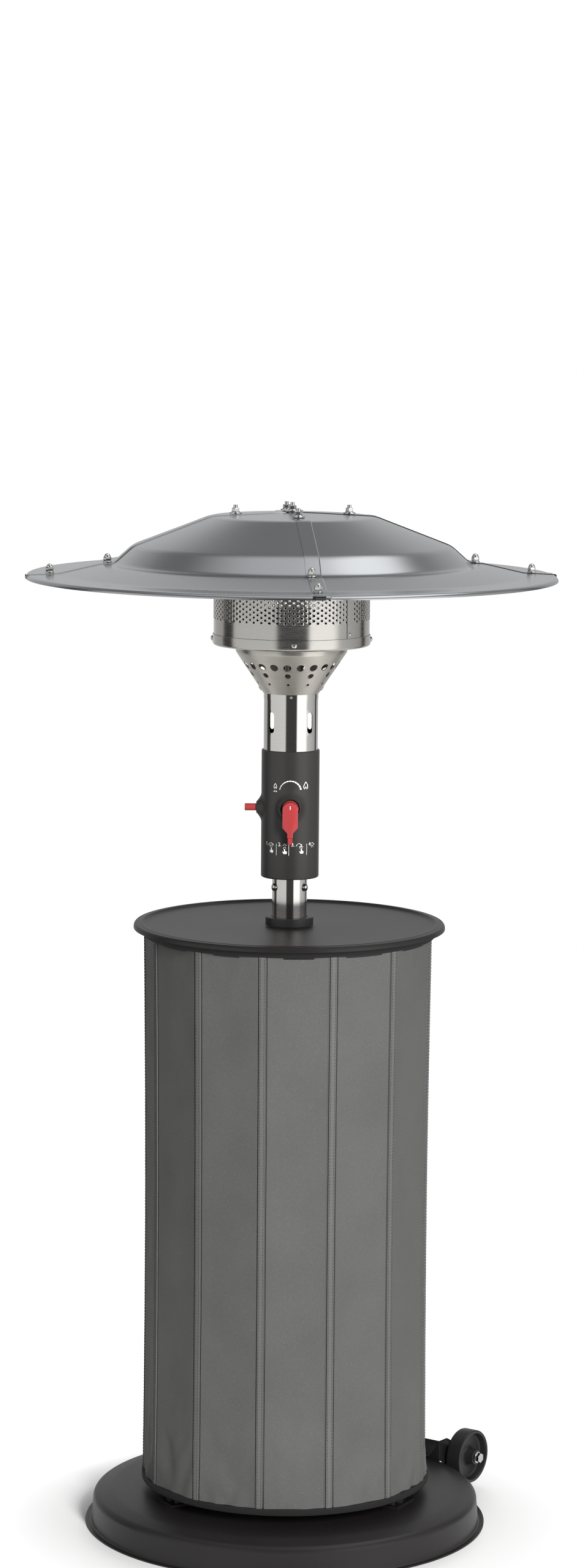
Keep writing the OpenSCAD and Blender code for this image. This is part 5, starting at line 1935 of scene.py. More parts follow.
@dataclass
class HeadTube:
    """Polished tube over the housing, with four upright slots for the air."""

    radius: float = 39.1
    wall: float = 1.2
    foot_z: float = 1122.0
    top_z: float = 1229.0
    slot_z: float = 1186.75
    slot_half: float = 10.25
    slot_r: float = 5.0
    cell_h: float = 40.0
    start: float = -0.5
    columns: int = 160

    def build(self) -> None:
        """Wraps the slotted band and draws the tube below and above it."""
        slots = Perforation(
            TURN * self.radius / 4, self.cell_h, self.slot_r, self.wall, stretch=self.slot_half,
            across=self.columns // 4, core=10, up=16,
        )
        low = self.slot_z - self.cell_h / 2
        high = self.slot_z + self.cell_h / 2
        band = slots.wrapped(
            "tube_slots", Palette.POLISHED_STEEL, 4, 1, self.radius, low, self.start
        )
        inner = self.radius - self.wall
        shell = Shell()
        for ring, end in ((low, self.foot_z), (high, self.top_z)):
            section = [(self.radius, ring), (self.radius, end), (inner, end), (inner, ring)]
            shell.grid(hoops(section, self.columns, self.start), closed=True)
        plain = shell.mesh("tube_plain")
        mesh = joined("head_tube_wall", [band, plain])
        piece("head_tube_wall", mesh, Palette.POLISHED_STEEL, "mast", ["head_tube"], sharp=50)


@dataclass
class Boss:
    """A boss that flares softly out of the housing, with a bore and a sunk well."""

    height: float
    face: float
    face_r: float
    foot_across: float
    foot_up: float
    bore_r: float
    well_r: float = 0.0
    well_depth: float = 0.0
    flare: float = 2.4
    relief_r: float = 0.0
    lip: float = 5.0
    steps: int = 14
    segments: int = 72

    def shell(self, wall_r: float, wall: float, place: Matrix) -> Shell:
        """Builds the boss as a closed skin.

        Args:
            wall_r: Outer radius of the housing.
            wall: Thickness of the housing.
            place: Turns the boss from the front to where it stands.

        Returns:
            The boss, its foot sunk just under the housing's surface.
        """
        angles = [TURN * k / self.segments for k in range(self.segments)]

        def ring(across: float, up: float, depth: Callable[[float], float]) -> list[Point3]:
            """One ring of points: half widths, and depth as a function of x.

            Args:
                across: Half width of the ring.
                up: Half height of the ring.
                depth: Depth at each x.

            Returns:
                The points.
            """
            out = []
            for a in angles:
                x, z = across * math.cos(a), up * math.sin(a)
                out.append(tuple(place @ Vector((x, -depth(x), self.height + z))))
            return out

        bottom = self.face - self.well_depth
        inner = wall_r - wall
        back = math.sqrt(inner * inner - self.foot_across**2) if inner > self.foot_across else 20.0
        wide = self.relief_r or self.bore_r
        levels = [(wide, inner - 1)]
        if self.relief_r:
            levels += [(wide, self.face - self.lip), (self.bore_r, self.face - self.lip)]
        levels.append((self.bore_r, bottom))
        if self.well_depth:
            levels += [
                (self.well_r, bottom), (self.well_r, self.face - 0.3),
                (self.well_r + 0.3, self.face),
            ]
        levels += [(self.face_r - 0.7, self.face), (self.face_r - 0.2, self.face - 0.2)]
        rows = [ring(r, r, lambda x, depth=depth: depth) for r, depth in levels]
        for i in range(self.steps + 1):
            s = i / self.steps
            across = self.face_r + (self.foot_across - self.face_r) * s
            up = self.face_r + (self.foot_up - self.face_r) * s
            rise = (1 - s) ** self.flare
            rows.append(
                ring(
                    across, up,
                    lambda x, s=s, rise=rise, across=across: self.skin(x, wall_r, across, rise),
                )
            )
        rows.append(
            ring(
                self.foot_across + 0.4, self.foot_up + 0.4,
                lambda x: math.sqrt(max(1.0, wall_r**2 - x * x)) - 0.25,
            )
        )
        rows.append(ring(self.foot_across - 1, self.foot_up - 1, lambda x: back + 0.3))
        rows.append(rows[0])
        made = Shell()
        made.grid(rows, closed=True)
        return made

    def skin(self, x: float, wall_r: float, across: float, rise: float) -> float:
        """Depth of the flare at a distance x from its middle.

        Args:
            x: The distance.
            wall_r: Outer radius of the housing.
            across: Half width of the ring.
            rise: Share of the flare's height, from 0 at its foot to 1.

        Returns:
            The depth.
        """
        surface = math.sqrt(max(1.0, wall_r**2 - x * x))
        at_face = x * self.face_r / max(across, 0.1)
        lift = self.face - 0.7 - math.sqrt(wall_r**2 - at_face**2)
        return surface + lift * rise


@dataclass
class Housing:
    """Cast control housing with its front boss, its side boss and the prints on it."""

    radius: float = 41.9
    wall: float = 2.6
    foot_z: float = 960.0
    top_z: float = 1146.0
    shelf_z: float = 1118.0
    head_z: float = 1122.0
    head_r: float = 39.2
    spigot_r: float = 23.8
    spigot_wall: float = 3.0
    spigot_h: float = 35.0
    corner: float = 2.2
    knob_z: float = 1065.0
    button_z: float = 1061.0
    boss_face: float = 50.0
    side_face: float = 49.2
    bonnet_r: float = 9.05
    button_r: float = 5.2
    relief_r: float = 7.2
    floor_t: float = 4.0
    lip_w: float = 4.0
    screw_r: float = 2.1
    screw_lift: float = 12.0
    screw_turns: Point2 = (60.0, 120.0)
    bolt_r: float = 3.0
    wall_reach: Point2 = (30.0, 48.0)
    bolt_reach: Point2 = (10.0, 30.0)

    def build(self) -> None:
        """Casts the shell, drills its bores and adds the bosses."""
        r, c = self.radius, self.corner
        inner = r - self.wall
        spigot_in = self.spigot_r - self.spigot_wall
        low, floor_z = self.foot_z - self.spigot_h, self.foot_z + self.floor_t
        shelf_in = self.head_r - self.lip_w
        section = [
            (self.spigot_r, self.foot_z), *arc((r - c, self.foot_z + c), c, -90, 0, 6),
            *arc((r - c, self.top_z - c), c, 0, 90, 6), (self.head_r, self.top_z),
            (self.head_r, self.head_z), (shelf_in, self.head_z), (shelf_in, self.shelf_z),
            (inner, self.shelf_z), (inner, floor_z), (spigot_in, floor_z), (spigot_in, low),
            (self.spigot_r, low),
        ]
        shell = Shell()
        shell.turned(section, SMOOTH_SEGMENTS)
        drill = Shell()
        screw_z = self.head_z + self.screw_lift
        for radius, reach, segments, turn, z in (
            (self.bonnet_r, self.wall_reach, 40, FRONT, self.knob_z),
            (self.relief_r, self.wall_reach, 40, 180, self.button_z),
            *(
                (self.screw_r, self.wall_reach, BORE_SEGMENTS, turn, screw_z)
                for turn in self.screw_turns
            ),
            *(
                (self.bolt_r, self.bolt_reach, BORE_SEGMENTS, turn, Mast.bolt_z)
                for turn in Mast.bolt_turns
            ),
        ):
            drill.rod(radius, *reach, segments, upright(turn, z))
        casting = cut_from("casting", shell, drill)
        front = Boss(
            self.knob_z, self.boss_face, face_r=15.0, foot_across=24.0, foot_up=33.0,
            bore_r=self.bonnet_r, well_r=13.5, well_depth=6.0,
        )
        side = Boss(
            self.button_z, self.side_face, face_r=8.6, foot_across=20.0, foot_up=21.0,
            bore_r=self.button_r, flare=1.7, relief_r=self.relief_r,
        )
        parts = [casting]
        for k, (boss, turn) in enumerate(((front, 0.0), (side, -90.0))):
            place = Matrix.Rotation(math.radians(turn), 4, "Z")
            parts.append(boss.shell(self.radius, self.wall, place).mesh(f"boss_{k}"))
        mesh = joined("housing_casting", parts, FINE)
        piece("housing_casting", mesh, Palette.HOUSING_COAT, "mast", ["control_housing"], sharp=40)


class Print:
    """White marks printed on the front of the housing: flat outlines bent round it."""

    strip = 1.5

    def __init__(self, name: str, radius: float, ink: float = 0.05) -> None:
        """Starts a print on a cylinder of that radius, with ink that thick."""
        self.name, self.radius, self.ink = name, radius, ink
        self.work = bmesh.new()

    def area(self, outline: Sequence[Point2]) -> None:
        """Adds a filled outline: distance round from the front, and height."""
        points = [self.work.verts.new((x, z, 0.0)) for x, z in outline]
        self.work.faces.new(points)

    def line(self, start: Point2, end: Point2, width: float, tip: float | None = None) -> None:
        """Adds a straight stroke whose width may change to tip at its end.

        Args:
            start: Where it starts.
            end: Where it ends.
            width: Its width.
            tip: Its width at the end; the same where it is left out.
        """
        (x0, z0), (x1, z1) = start, end
        length = math.hypot(x1 - x0, z1 - z0)
        nx, nz = (z0 - z1) / length, (x1 - x0) / length
        a, b = width / 2, (width if tip is None else tip) / 2
        self.area(
            [
                (x0 + nx * a, z0 + nz * a), (x1 + nx * b, z1 + nz * b), (x1 - nx * b, z1 - nz * b),
                (x0 - nx * a, z0 - nz * a),
            ]
        )

    def bow(
        self, centre: Point2, radius: float, start: float, end: float, w0: float, w1: float
    ) -> None:
        """Adds a bent stroke whose width goes from w0 to w1.

        Args:
            centre: Centre of its bend.
            radius: Radius of its bend.
            start: Angle of its start, in degrees.
            end: Angle of its end, in degrees.
            w0: Width at its start.
            w1: Width at its end.
        """
        steps = max(2, int(abs(end - start) / 6))
        outer, inner = [], []
        for i in range(steps + 1):
            t = i / steps
            a = math.radians(start + (end - start) * t)
            half = (w0 + (w1 - w0) * t) / 2
            for side, r in ((outer, radius + half), (inner, radius - half)):
                side.append((centre[0] + r * math.cos(a), centre[1] + r * math.sin(a)))
        self.area([*outer, *reversed(inner)])

    def number(self, text: str, at: Point2, size: float) -> None:
        """Adds a number in the plain built-in font, its lower left corner at a point.

        Args:
            text: The number.
            at: The point.
            size: Size of the font.
        """
        font = bpy.data.curves.new("number", "FONT")
        font.body, font.size, font.resolution_u = text, size, 3
        holder = bpy.data.objects.new("number", font)
        bpy.context.scene.collection.objects.link(holder)
        bpy.context.view_layer.update()
        flat = bpy.data.meshes.new_from_object(
            holder.evaluated_get(bpy.context.evaluated_depsgraph_get())
        )
        bpy.data.objects.remove(holder)
        bpy.data.curves.remove(font)
        flat.transform(Matrix.Translation((at[0], at[1], 0)))
        self.work.from_mesh(flat)
        bpy.data.meshes.remove(flat)

    def build(self) -> Mesh:
        """Thickens the marks, cuts them into narrow strips and bends them on.

        Returns:
            The mesh, in metres.
        """
        work = self.work
        bmesh.ops.recalc_face_normals(work, faces=work.faces)
        raised = bmesh.ops.extrude_face_region(work, geom=list(work.faces), use_keep_orig=True)
        top = [g for g in raised["geom"] if isinstance(g, bmesh.types.BMVert)]
        bmesh.ops.translate(work, verts=top, vec=(0, 0, self.ink))
        step = self.strip
        count = int(max(abs(v.co.x) for v in work.verts) / step)
        for k in range(-count, count + 1):
            bmesh.ops.bisect_plane(
                work, geom=[*work.verts, *work.edges, *work.faces],
                plane_co=(k * step + 0.01, 0, 0), plane_no=(1, 0, 0),
            )
        for v in work.verts:
            angle = v.co.x / self.radius
            r = self.radius + v.co.z
            v.co = Vector((r * math.sin(angle), -r * math.cos(angle), v.co.y)) * MM
        mesh = bpy.data.meshes.new(self.name)
        work.to_mesh(mesh)
        work.free()
        return tidied(mesh, FINE)


@dataclass
class Prints:
    """Marks on the housing: the scale over the knob, the flames and the strip of pictures."""

    radius: float = 41.9
    arc_r: float = 16.8
    arc_z: float = 1088.0
    arc_end: float = 11.0
    segments: int = 11
    strip_z: float = 1009.4
    number_size: float = 7.4
    dividers: tuple[float, ...] = (-20.3, -1.6, 25.9)
    numbers: tuple[float, ...] = (-40.2, -17.6, 1.6, 29.1)

    def flame(self, marks: Print, at: Point2, high: float, line: float) -> None:
        """Draws the outline of a flame with a small one inside it.

        Args:
            marks: The print.
            at: Foot of the flame.
            high: Its height.
            line: Width of its lines.
        """
        x, z = at
        shape = [(0.0, 1.0), (0.2, 0.72), (0.33, 0.42), (0.3, 0.16), (0.14, 0.0)]
        for side in (-1, 1):
            points = [(x + side * a * high, z + b * high) for a, b in shape]
            for start, end in zip(points, points[1:]):
                marks.line(start, end, line)
        for side in (-1, 1):
            marks.line((x, z + 0.36 * high), (x + side * 0.12 * high, z + 0.1 * high), line * 0.8)

    def spark(self, marks: Print, at: Point2, size: float, rays: Sequence[float]) -> None:
        """Draws short rays of a spark round a point.

        Args:
            marks: The print.
            at: The point.
            size: Reach of the rays.
            rays: Their angles, in degrees.
        """
        for angle in rays:
            a = math.radians(angle)
            near = (at[0] + 0.35 * size * math.cos(a), at[1] + 0.35 * size * math.sin(a))
            far = (at[0] + size * math.cos(a), at[1] + size * math.sin(a))
            marks.line(near, far, 0.3 * size, 0.12 * size)

    def hand(self, marks: Print, at: Point2, size: float) -> None:
        """Draws a hand whose finger points upwards, the fingertip at a point.

        Args:
            marks: The print.
            at: The point.
            size: Height of the hand.
        """
        shape = [
            (-0.1, -0.02), (0.0, 0.0), (0.1, -0.02), (0.12, -0.1), (0.12, -0.42), (0.34, -0.46),
            (0.46, -0.56), (0.46, -0.82), (0.36, -1.0), (-0.16, -1.0), (-0.3, -0.82),
            (-0.42, -0.62), (-0.38, -0.54), (-0.26, -0.56), (-0.12, -0.66), (-0.12, -0.1),
        ]
        marks.area([(at[0] + size * x, at[1] + size * z) for x, z in shape])

    def build(self) -> None:
        """Prints all marks as one piece."""
        marks = Print("housing_prints", self.radius)
        span = 180 - 2 * self.arc_end
        for k in range(self.segments):
            a = 180 - self.arc_end - span * (k + 0.09) / self.segments
            b = 180 - self.arc_end - span * (k + 0.91) / self.segments
            wide = [0.9 + 1.5 * (k + e) / self.segments for e in (0, 1)]
            marks.bow((0.0, self.arc_z), self.arc_r - 0.8, a, b, wide[0], wide[1])
        self.flame(marks, (-22.7, 1092.6), 7.4, 0.75)
        self.spark(marks, (-22.7, 1087.4), 3.4, (20, 62, 118, 160))
        self.flame(marks, (23.3, 1092.0), 10.4, 1.0)
        low = self.strip_z
        for x in self.dividers:
            marks.line((x, low - 13.6), (x, low + 3.2), 0.5)
        for k, x in enumerate(self.numbers):
            marks.number(f"{k + 1}.", (x, low), self.number_size)
        for x in (-33.5, 9.6, 32.6):
            marks.bow((x + 3.6, low + 0.2), 3.6, 150, 30, 0.35, 0.7)
            self.flame(marks, (x, low + 0.4), 1.9, 0.35)
            self.flame(marks, (x + 7.4, low + 0.4), 2.6, 0.4)
        self.spark(marks, (-7.6, low + 1.2), 3.2, (0, 45, 90, 135, 180))
        for x, drop in ((-29.4, 1.2), (-7.6, 2.8), (16.4, 2.2), (36.8, 1.8)):
            marks.bow((x, low - drop), 1.8, -40, 220, 0.55, 0.55)
        for x, drop in ((-29.2, 3.0), (-7.8, 3.8), (16.9, 3.4)):
            self.hand(marks, (x, low - drop), 7.4)
        self.spark(marks, (16.4, low - 2.2), 3.4, (30, 90, 150))
        piece("housing_prints", marks.build(), Palette.PRINT_WHITE, "mast")


def inset(outline: Sequence[Point2], gap: float) -> list[Point2]:
    """Moves each side of a closed outline inwards; its points run anticlockwise.

    Args:
        outline: The outline's points.
        gap: How far each side moves.

    Returns:
        The smaller outline.
    """
    out = []
    count = len(outline)
    for i, (x, z) in enumerate(outline):
        before, after = outline[i - 1], outline[(i + 1) % count]
        one = Vector((x - before[0], z - before[1])).normalized()
        two = Vector((after[0] - x, after[1] - z)).normalized()
        normal_one, normal_two = Vector((-one.y, one.x)), Vector((-two.y, two.x))
        middle = (normal_one + normal_two).normalized()
        reach = gap / max(0.4, middle.dot(normal_one))
        out.append((x + middle.x * reach, z + middle.y * reach))
    return out


@dataclass
class LeverKnob:
    """Red lever knob on the front boss: round head, bevelled bar and a lower tip."""

    axis_z: float = 1065.0
    half: float = 11.25
    drop: float = 50.0
    neck: float = 4.2
    tip: float = 3.4
    back: float = 54.6
    thick: float = 15.0
    bevel: float = 1.5
    tip_drop: float = 2.2
    hub_r: float = 12.0
    hub_foot: float = 48.6
    bore_r: float = 3.05
    bore_end: float = 67.6

    def outline(self) -> list[Point2]:
        """Outline of the bar down to its neck, anticlockwise, the axis at the origin.

        Returns:
            The outline.
        """
        shoulder, low = 24.5 - self.drop, 16.5 - self.drop
        return [
            *arc((0.0, 0.0), self.half, 0, 180, 24), (-self.half, shoulder), (-self.neck, low),
            (-self.neck, 10 - self.drop), (self.neck, 10 - self.drop), (self.neck, low),
            (self.half, shoulder),
        ]

    def layers(self, outline: list[Point2], steps: Sequence[Point2]) -> Shell:
        """Stacks an outline at depths, each layer moved inwards.

        Args:
            outline: The outline, anticlockwise.
            steps: For each layer how far it moves inwards, and its depth.

        Returns:
            The closed stack.
        """
        made = Shell()
        rows = []
        for gap, depth in steps:
            ring = inset(outline, gap) if gap else outline
            rows.append([(x, -depth, self.axis_z + z) for x, z in ring])
        made.grid(rows, closed=True)
        count = len(outline)
        made.add(rows[0], [tuple(range(count))])
        made.add(rows[-1], [tuple(reversed(range(count)))])
        return made

    def build(self) -> None:
        """Moulds the knob with the bore for its spindle, and prints its line."""
        face = self.back + self.thick
        b = self.bevel
        steps = [
            (0.5, self.back), (0.0, self.back + 0.5), (0.0, face - b), (0.35, face - 0.35 * b),
            (b, face),
        ]
        knob = self.layers(self.outline(), steps)
        low = 10 - self.drop
        tip = [
            (self.tip, low + 4), (-self.tip, low + 4), (-self.tip, -self.drop),
            (self.tip, -self.drop),
        ]
        front = face - self.tip_drop
        tongue = self.layers(
            tip, [(0.4, self.back + 2), (0.0, self.back + 2.4), (0.0, front - 0.8), (0.7, front)]
        )
        hub, drill = Shell(), Shell()
        axis = upright(FRONT, self.axis_z)
        hub.rod(self.hub_r, self.hub_foot, self.back + 1, 64, axis)
        drill.rod(self.bore_r, 40.0, self.bore_end, 32, axis)
        blank = joined(
            "knob_blank", [knob.mesh("knob_bar"), tongue.mesh("knob_tongue"), hub.mesh("knob_hub")],
            FINE,
        )
        mesh = cut_from("knob_blank", blank, drill)
        piece("knob_moulding", mesh, Palette.RED_PLASTIC, "knob", ["lever_knob"], sharp=25)
        mark = Shell()
        place = Matrix.Translation((0, 0, self.axis_z))
        mark.block((-0.55, -face - 0.06, 1.4), (0.55, -face + 0.1, 6.2), place)
        piece("knob_mark", mark, Palette.PRINT_WHITE, "knob")


@dataclass
class IgniterButton:
    """Red button in the side boss, with a shoulder inside that keeps it in."""

    axis_z: float = 1061.0
    radius: float = 5.15
    face: float = 49.2
    reach: float = 16.7
    collar: float = 1.4
    inner: float = 43.9

    def build(self) -> None:
        """Turns the button."""
        end = self.face + self.reach
        shell = Shell()
        shell.turned(
            [
                (0.0, self.inner - 1.5), (self.radius + self.collar, self.inner - 1.5),
                (self.radius + self.collar, self.inner), (self.radius, self.inner),
                *arc((self.radius - 1.1, end - 1.1), 1.1, 0, 90, 6), (0.0, end),
            ],
            48, upright(180, self.axis_z),
        )
        piece("button_moulding", shell, Palette.RED_PLASTIC, "button", ["igniter_button"])


@dataclass
class Cone:
    """Brushed cone of the burner, with three rows of round holes and a plain neck."""

    foot_z: float = 1220.0
    height: float = 77.0
    neck_r: float = 40.4
    neck_h: float = 8.0
    neck_in: float = 39.2
    top_r: float = 80.5
    flange: float = 9.0
    shoulder: float = 7.0
    crown: float = 4.0
    sheet: float = 1.0
    lip: float = 0.12
    columns: int = 176
    rows: tuple[tuple[float, float, int, int, float], ...] = (
        (49.5, 5.9, 22, 6, 16.0), (37.0, 4.25, 11, 6, 11.0), (23.7, 2.1, 11, 4, 8.0),
    )
    first_hole: float = -4.8
    screw_r: float = 1.95
    side_screw_z: float = 14.0

    @property
    def lean(self) -> float:
        """Angle of the wall from upright, in radians."""
        return math.atan((self.top_r - self.neck_r) / (self.height - self.neck_h - self.flange))

    def wall(self, slope: float, depth: float = 0.0) -> Point2:
        """Point of the wall: way up the slope from its foot, and depth below its outside.

        Args:
            slope: Way up the slope.
            depth: Depth below the outside.

        Returns:
            Radius and height.
        """
        s, c = math.sin(self.lean), math.cos(self.lean)
        base = self.foot_z + self.neck_h
        return (self.neck_r + slope * s - depth * c, base + slope * c + depth * s)

    def build(self) -> None:
        """Punches and rolls the cone, and sets its screws and its rivet."""
        c = math.cos(self.lean)
        top_z = self.foot_z + self.height
        t = self.sheet
        meshes = []
        edges = [0.0]
        for h, hole, count, core, band in reversed(self.rows):
            middle = (h - self.neck_h) / c
            low, high = middle - band / 2, middle + band / 2
            edges += [low, high]
            at = self.wall(middle)[0]
            cell = Perforation(
                TURN * at / count, band, hole, t, lip=self.lip, lip_width=0.7,
                across=self.columns // count, core=core, up=6,
            )
            r, z = self.wall(low)
            meshes.append(
                cell.wrapped(
                    f"cone_row_{count}_{round(hole)}", Palette.CONE_STEEL, count, 1, r, z,
                    FRONT + self.first_hole - 180 / count, lean=math.degrees(self.lean),
                )
            )
        plain = Shell()
        edges.append(0.0)
        start = FRONT + self.first_hole - 180 / self.rows[-1][2]
        for low, high in zip(edges[2::2], edges[3:-1:2]):
            for depth in (0.0, t):
                section = [self.wall(low, depth), self.wall(high, depth)]
                plain.grid(hoops(section, self.columns, start), closed=True)
        ends = ((edges[1], 0.0), (0.0, 0.0), (0.0, t), (edges[1], t))
        foot = [self.wall(slope, depth) for slope, depth in ends]
        plain.grid(hoops(foot, self.columns, start), closed=True)
        last = edges[-2]
        r = self.top_r
        bend = top_z - self.flange + self.shoulder * math.tan(self.lean / 2)
        tilt = -math.degrees(self.lean)
        head = [
            self.wall(last), *arc((r - self.shoulder, bend), self.shoulder, tilt, 0, 6),
            *arc((r - self.crown, top_z - self.crown), self.crown, 0, 90, 8),
            (r - self.flange, top_z), (r - self.flange, top_z - t),
            *arc((r - self.crown, top_z - self.crown), self.crown - t, 90, 0, 8),
            *arc((r - self.shoulder, bend), self.shoulder - t, 0, tilt, 6), self.wall(last, t),
        ]
        plain.grid(hoops(head, self.columns, start), closed=True)
        # The cone takes the lighter copy of the brushed steel: painted light.
        mesh = joined("cone_wall", [*meshes, plain.mesh("cone_plain", 0.0)])
        piece("cone_wall", mesh, Palette.CONE_STEEL, "mast", ["burner_cone"], sharp=30)
        self.neck()
        self.fasteners()

    def neck(self) -> None:
        """Draws the polished neck under the cone."""
        shell = Shell()
        r, top = self.neck_in, self.foot_z + self.neck_h
        shell.turned([(r, self.foot_z), (r + 0.3, self.foot_z), (r + 0.3, top), (r, top)])
        piece("cone_neck", shell, Palette.POLISHED_STEEL, "mast", ["burner_cone"])

    def fasteners(self) -> None:
        """Sets the two side screws, the front rivet and the three screws of the pan."""
        up = self.side_screw_z
        side = self.wall((up - self.neck_h) / math.cos(self.lean))[0]
        screw = Shell()
        screw.rod(self.screw_r, -4.0, 0.2, BORE_SEGMENTS)
        head = domed_head(3.7, 1.6)
        screw.add(head.points, head.faces)
        square = 90 + math.degrees(self.lean)
        screws = ring_of(
            "cone_side_screws", screw, Palette.ZINC, 2, side, self.foot_z + up, 0.0, lean=square
        )
        rivet = domed_head(1.9, 0.9)
        at = self.neck_in + 0.3
        rivets = ring_of(
            "cone_rivet", rivet, Palette.ZINC, 1, at, self.foot_z + 4.4, FRONT, lean=90
        )
        low = self.foot_z + self.height - self.sheet - 0.4
        circle, turn = BurnerPan.cone_circle, BurnerPan.cone_turn
        pan = ring_of("cone_pan_screws", screw, Palette.ZINC, 3, circle, low, turn, lean=180)
        mesh = joined("cone_fasteners", [screws, rivets, pan])
        piece("cone_fasteners", mesh, Palette.ZINC, "mast", ["cone_screws"])


@dataclass
class BurnerPan:
    """Burner pan whose rim is the plain band between the cone and the screen."""

    foot_z: float = 1297.3
    radius: float = 113.7
    rim_h: float = 16.0
    sheet: float = 1.0
    corner: float = 4.0
    bore_r: float = 13.3
    screw_z: float = 8.7
    screw_turns: tuple[float, ...] = (-88.0, 0.0, 90.0, 180.0)
    screw_r: float = 1.95
    screw_hole_r: float = 2.1
    screw_head: Point2 = (4.0, 2.7)
    shank: float = 10.0
    grip: Point2 = (7.0, 3.0)
    grip_depth: float = 8.2
    seat: float = 0.05
    rim_reach: Point2 = (95.0, 125.0)
    cone_circle: float = 75.5
    cone_turn: float = 30.0
    cone_hole_r: float = 1.8
    probe_holes: tuple[Point2, ...] = ((0.0, -64.0), (18.0, -64.0))

    def build(self) -> None:
        """Draws the pan and sets the cross head screws in its rim."""
        z, r, t = self.foot_z, self.radius, self.sheet
        top = z + self.rim_h
        shell = Shell()
        shell.turned(
            [
                (self.bore_r, z), *arc((r - self.corner, z + self.corner), self.corner, -90, 0, 8),
                (r, top - 0.3), (r - 0.3, top), (r - t, top),
                *arc((r - self.corner, z + self.corner), self.corner - t, 0, -90, 8),
                (self.bore_r, z + t),
            ],
            SMOOTH_SEGMENTS,
        )
        drill = Shell()
        for turn in self.screw_turns:
            place = upright(turn, z + self.screw_z)
            drill.rod(self.screw_hole_r, *self.rim_reach, BORE_SEGMENTS, place)
        cone_holes = [
            polar(self.cone_circle, math.radians(self.cone_turn + 120 * k), 0.0) for k in range(3)
        ]
        for x, y, *_ in (*cone_holes, *self.probe_holes):
            place = Matrix.Translation((x, y, z - 3))
            drill.rod(self.cone_hole_r, 0.0, 8.0, BORE_SEGMENTS, place)
        mesh = cut_from("pan_blank", shell, drill)
        piece("pan_pressing", mesh, Palette.BRUSHED_STEEL, "mast", ["burner_pan"])
        heads = []
        for k, turn in enumerate(self.screw_turns):
            screw, grip = cross_head(*self.screw_head), nut(*self.grip)
            screw.rod(self.screw_r, -self.shank, 0.3, BORE_SEGMENTS)
            screw.add([(x, y, p - self.grip_depth) for x, y, p in grip.points], grip.faces)
            heads.append(
                ring_of(
                    f"band_screw_{k}", screw, Palette.ZINC, 1, self.radius + self.seat,
                    z + self.screw_z, turn, lean=90,
                )
            )
        mesh = joined("band_screw_heads", heads, FINE)
        piece("band_screw_heads", mesh, Palette.ZINC, "mast", ["band_screws"])


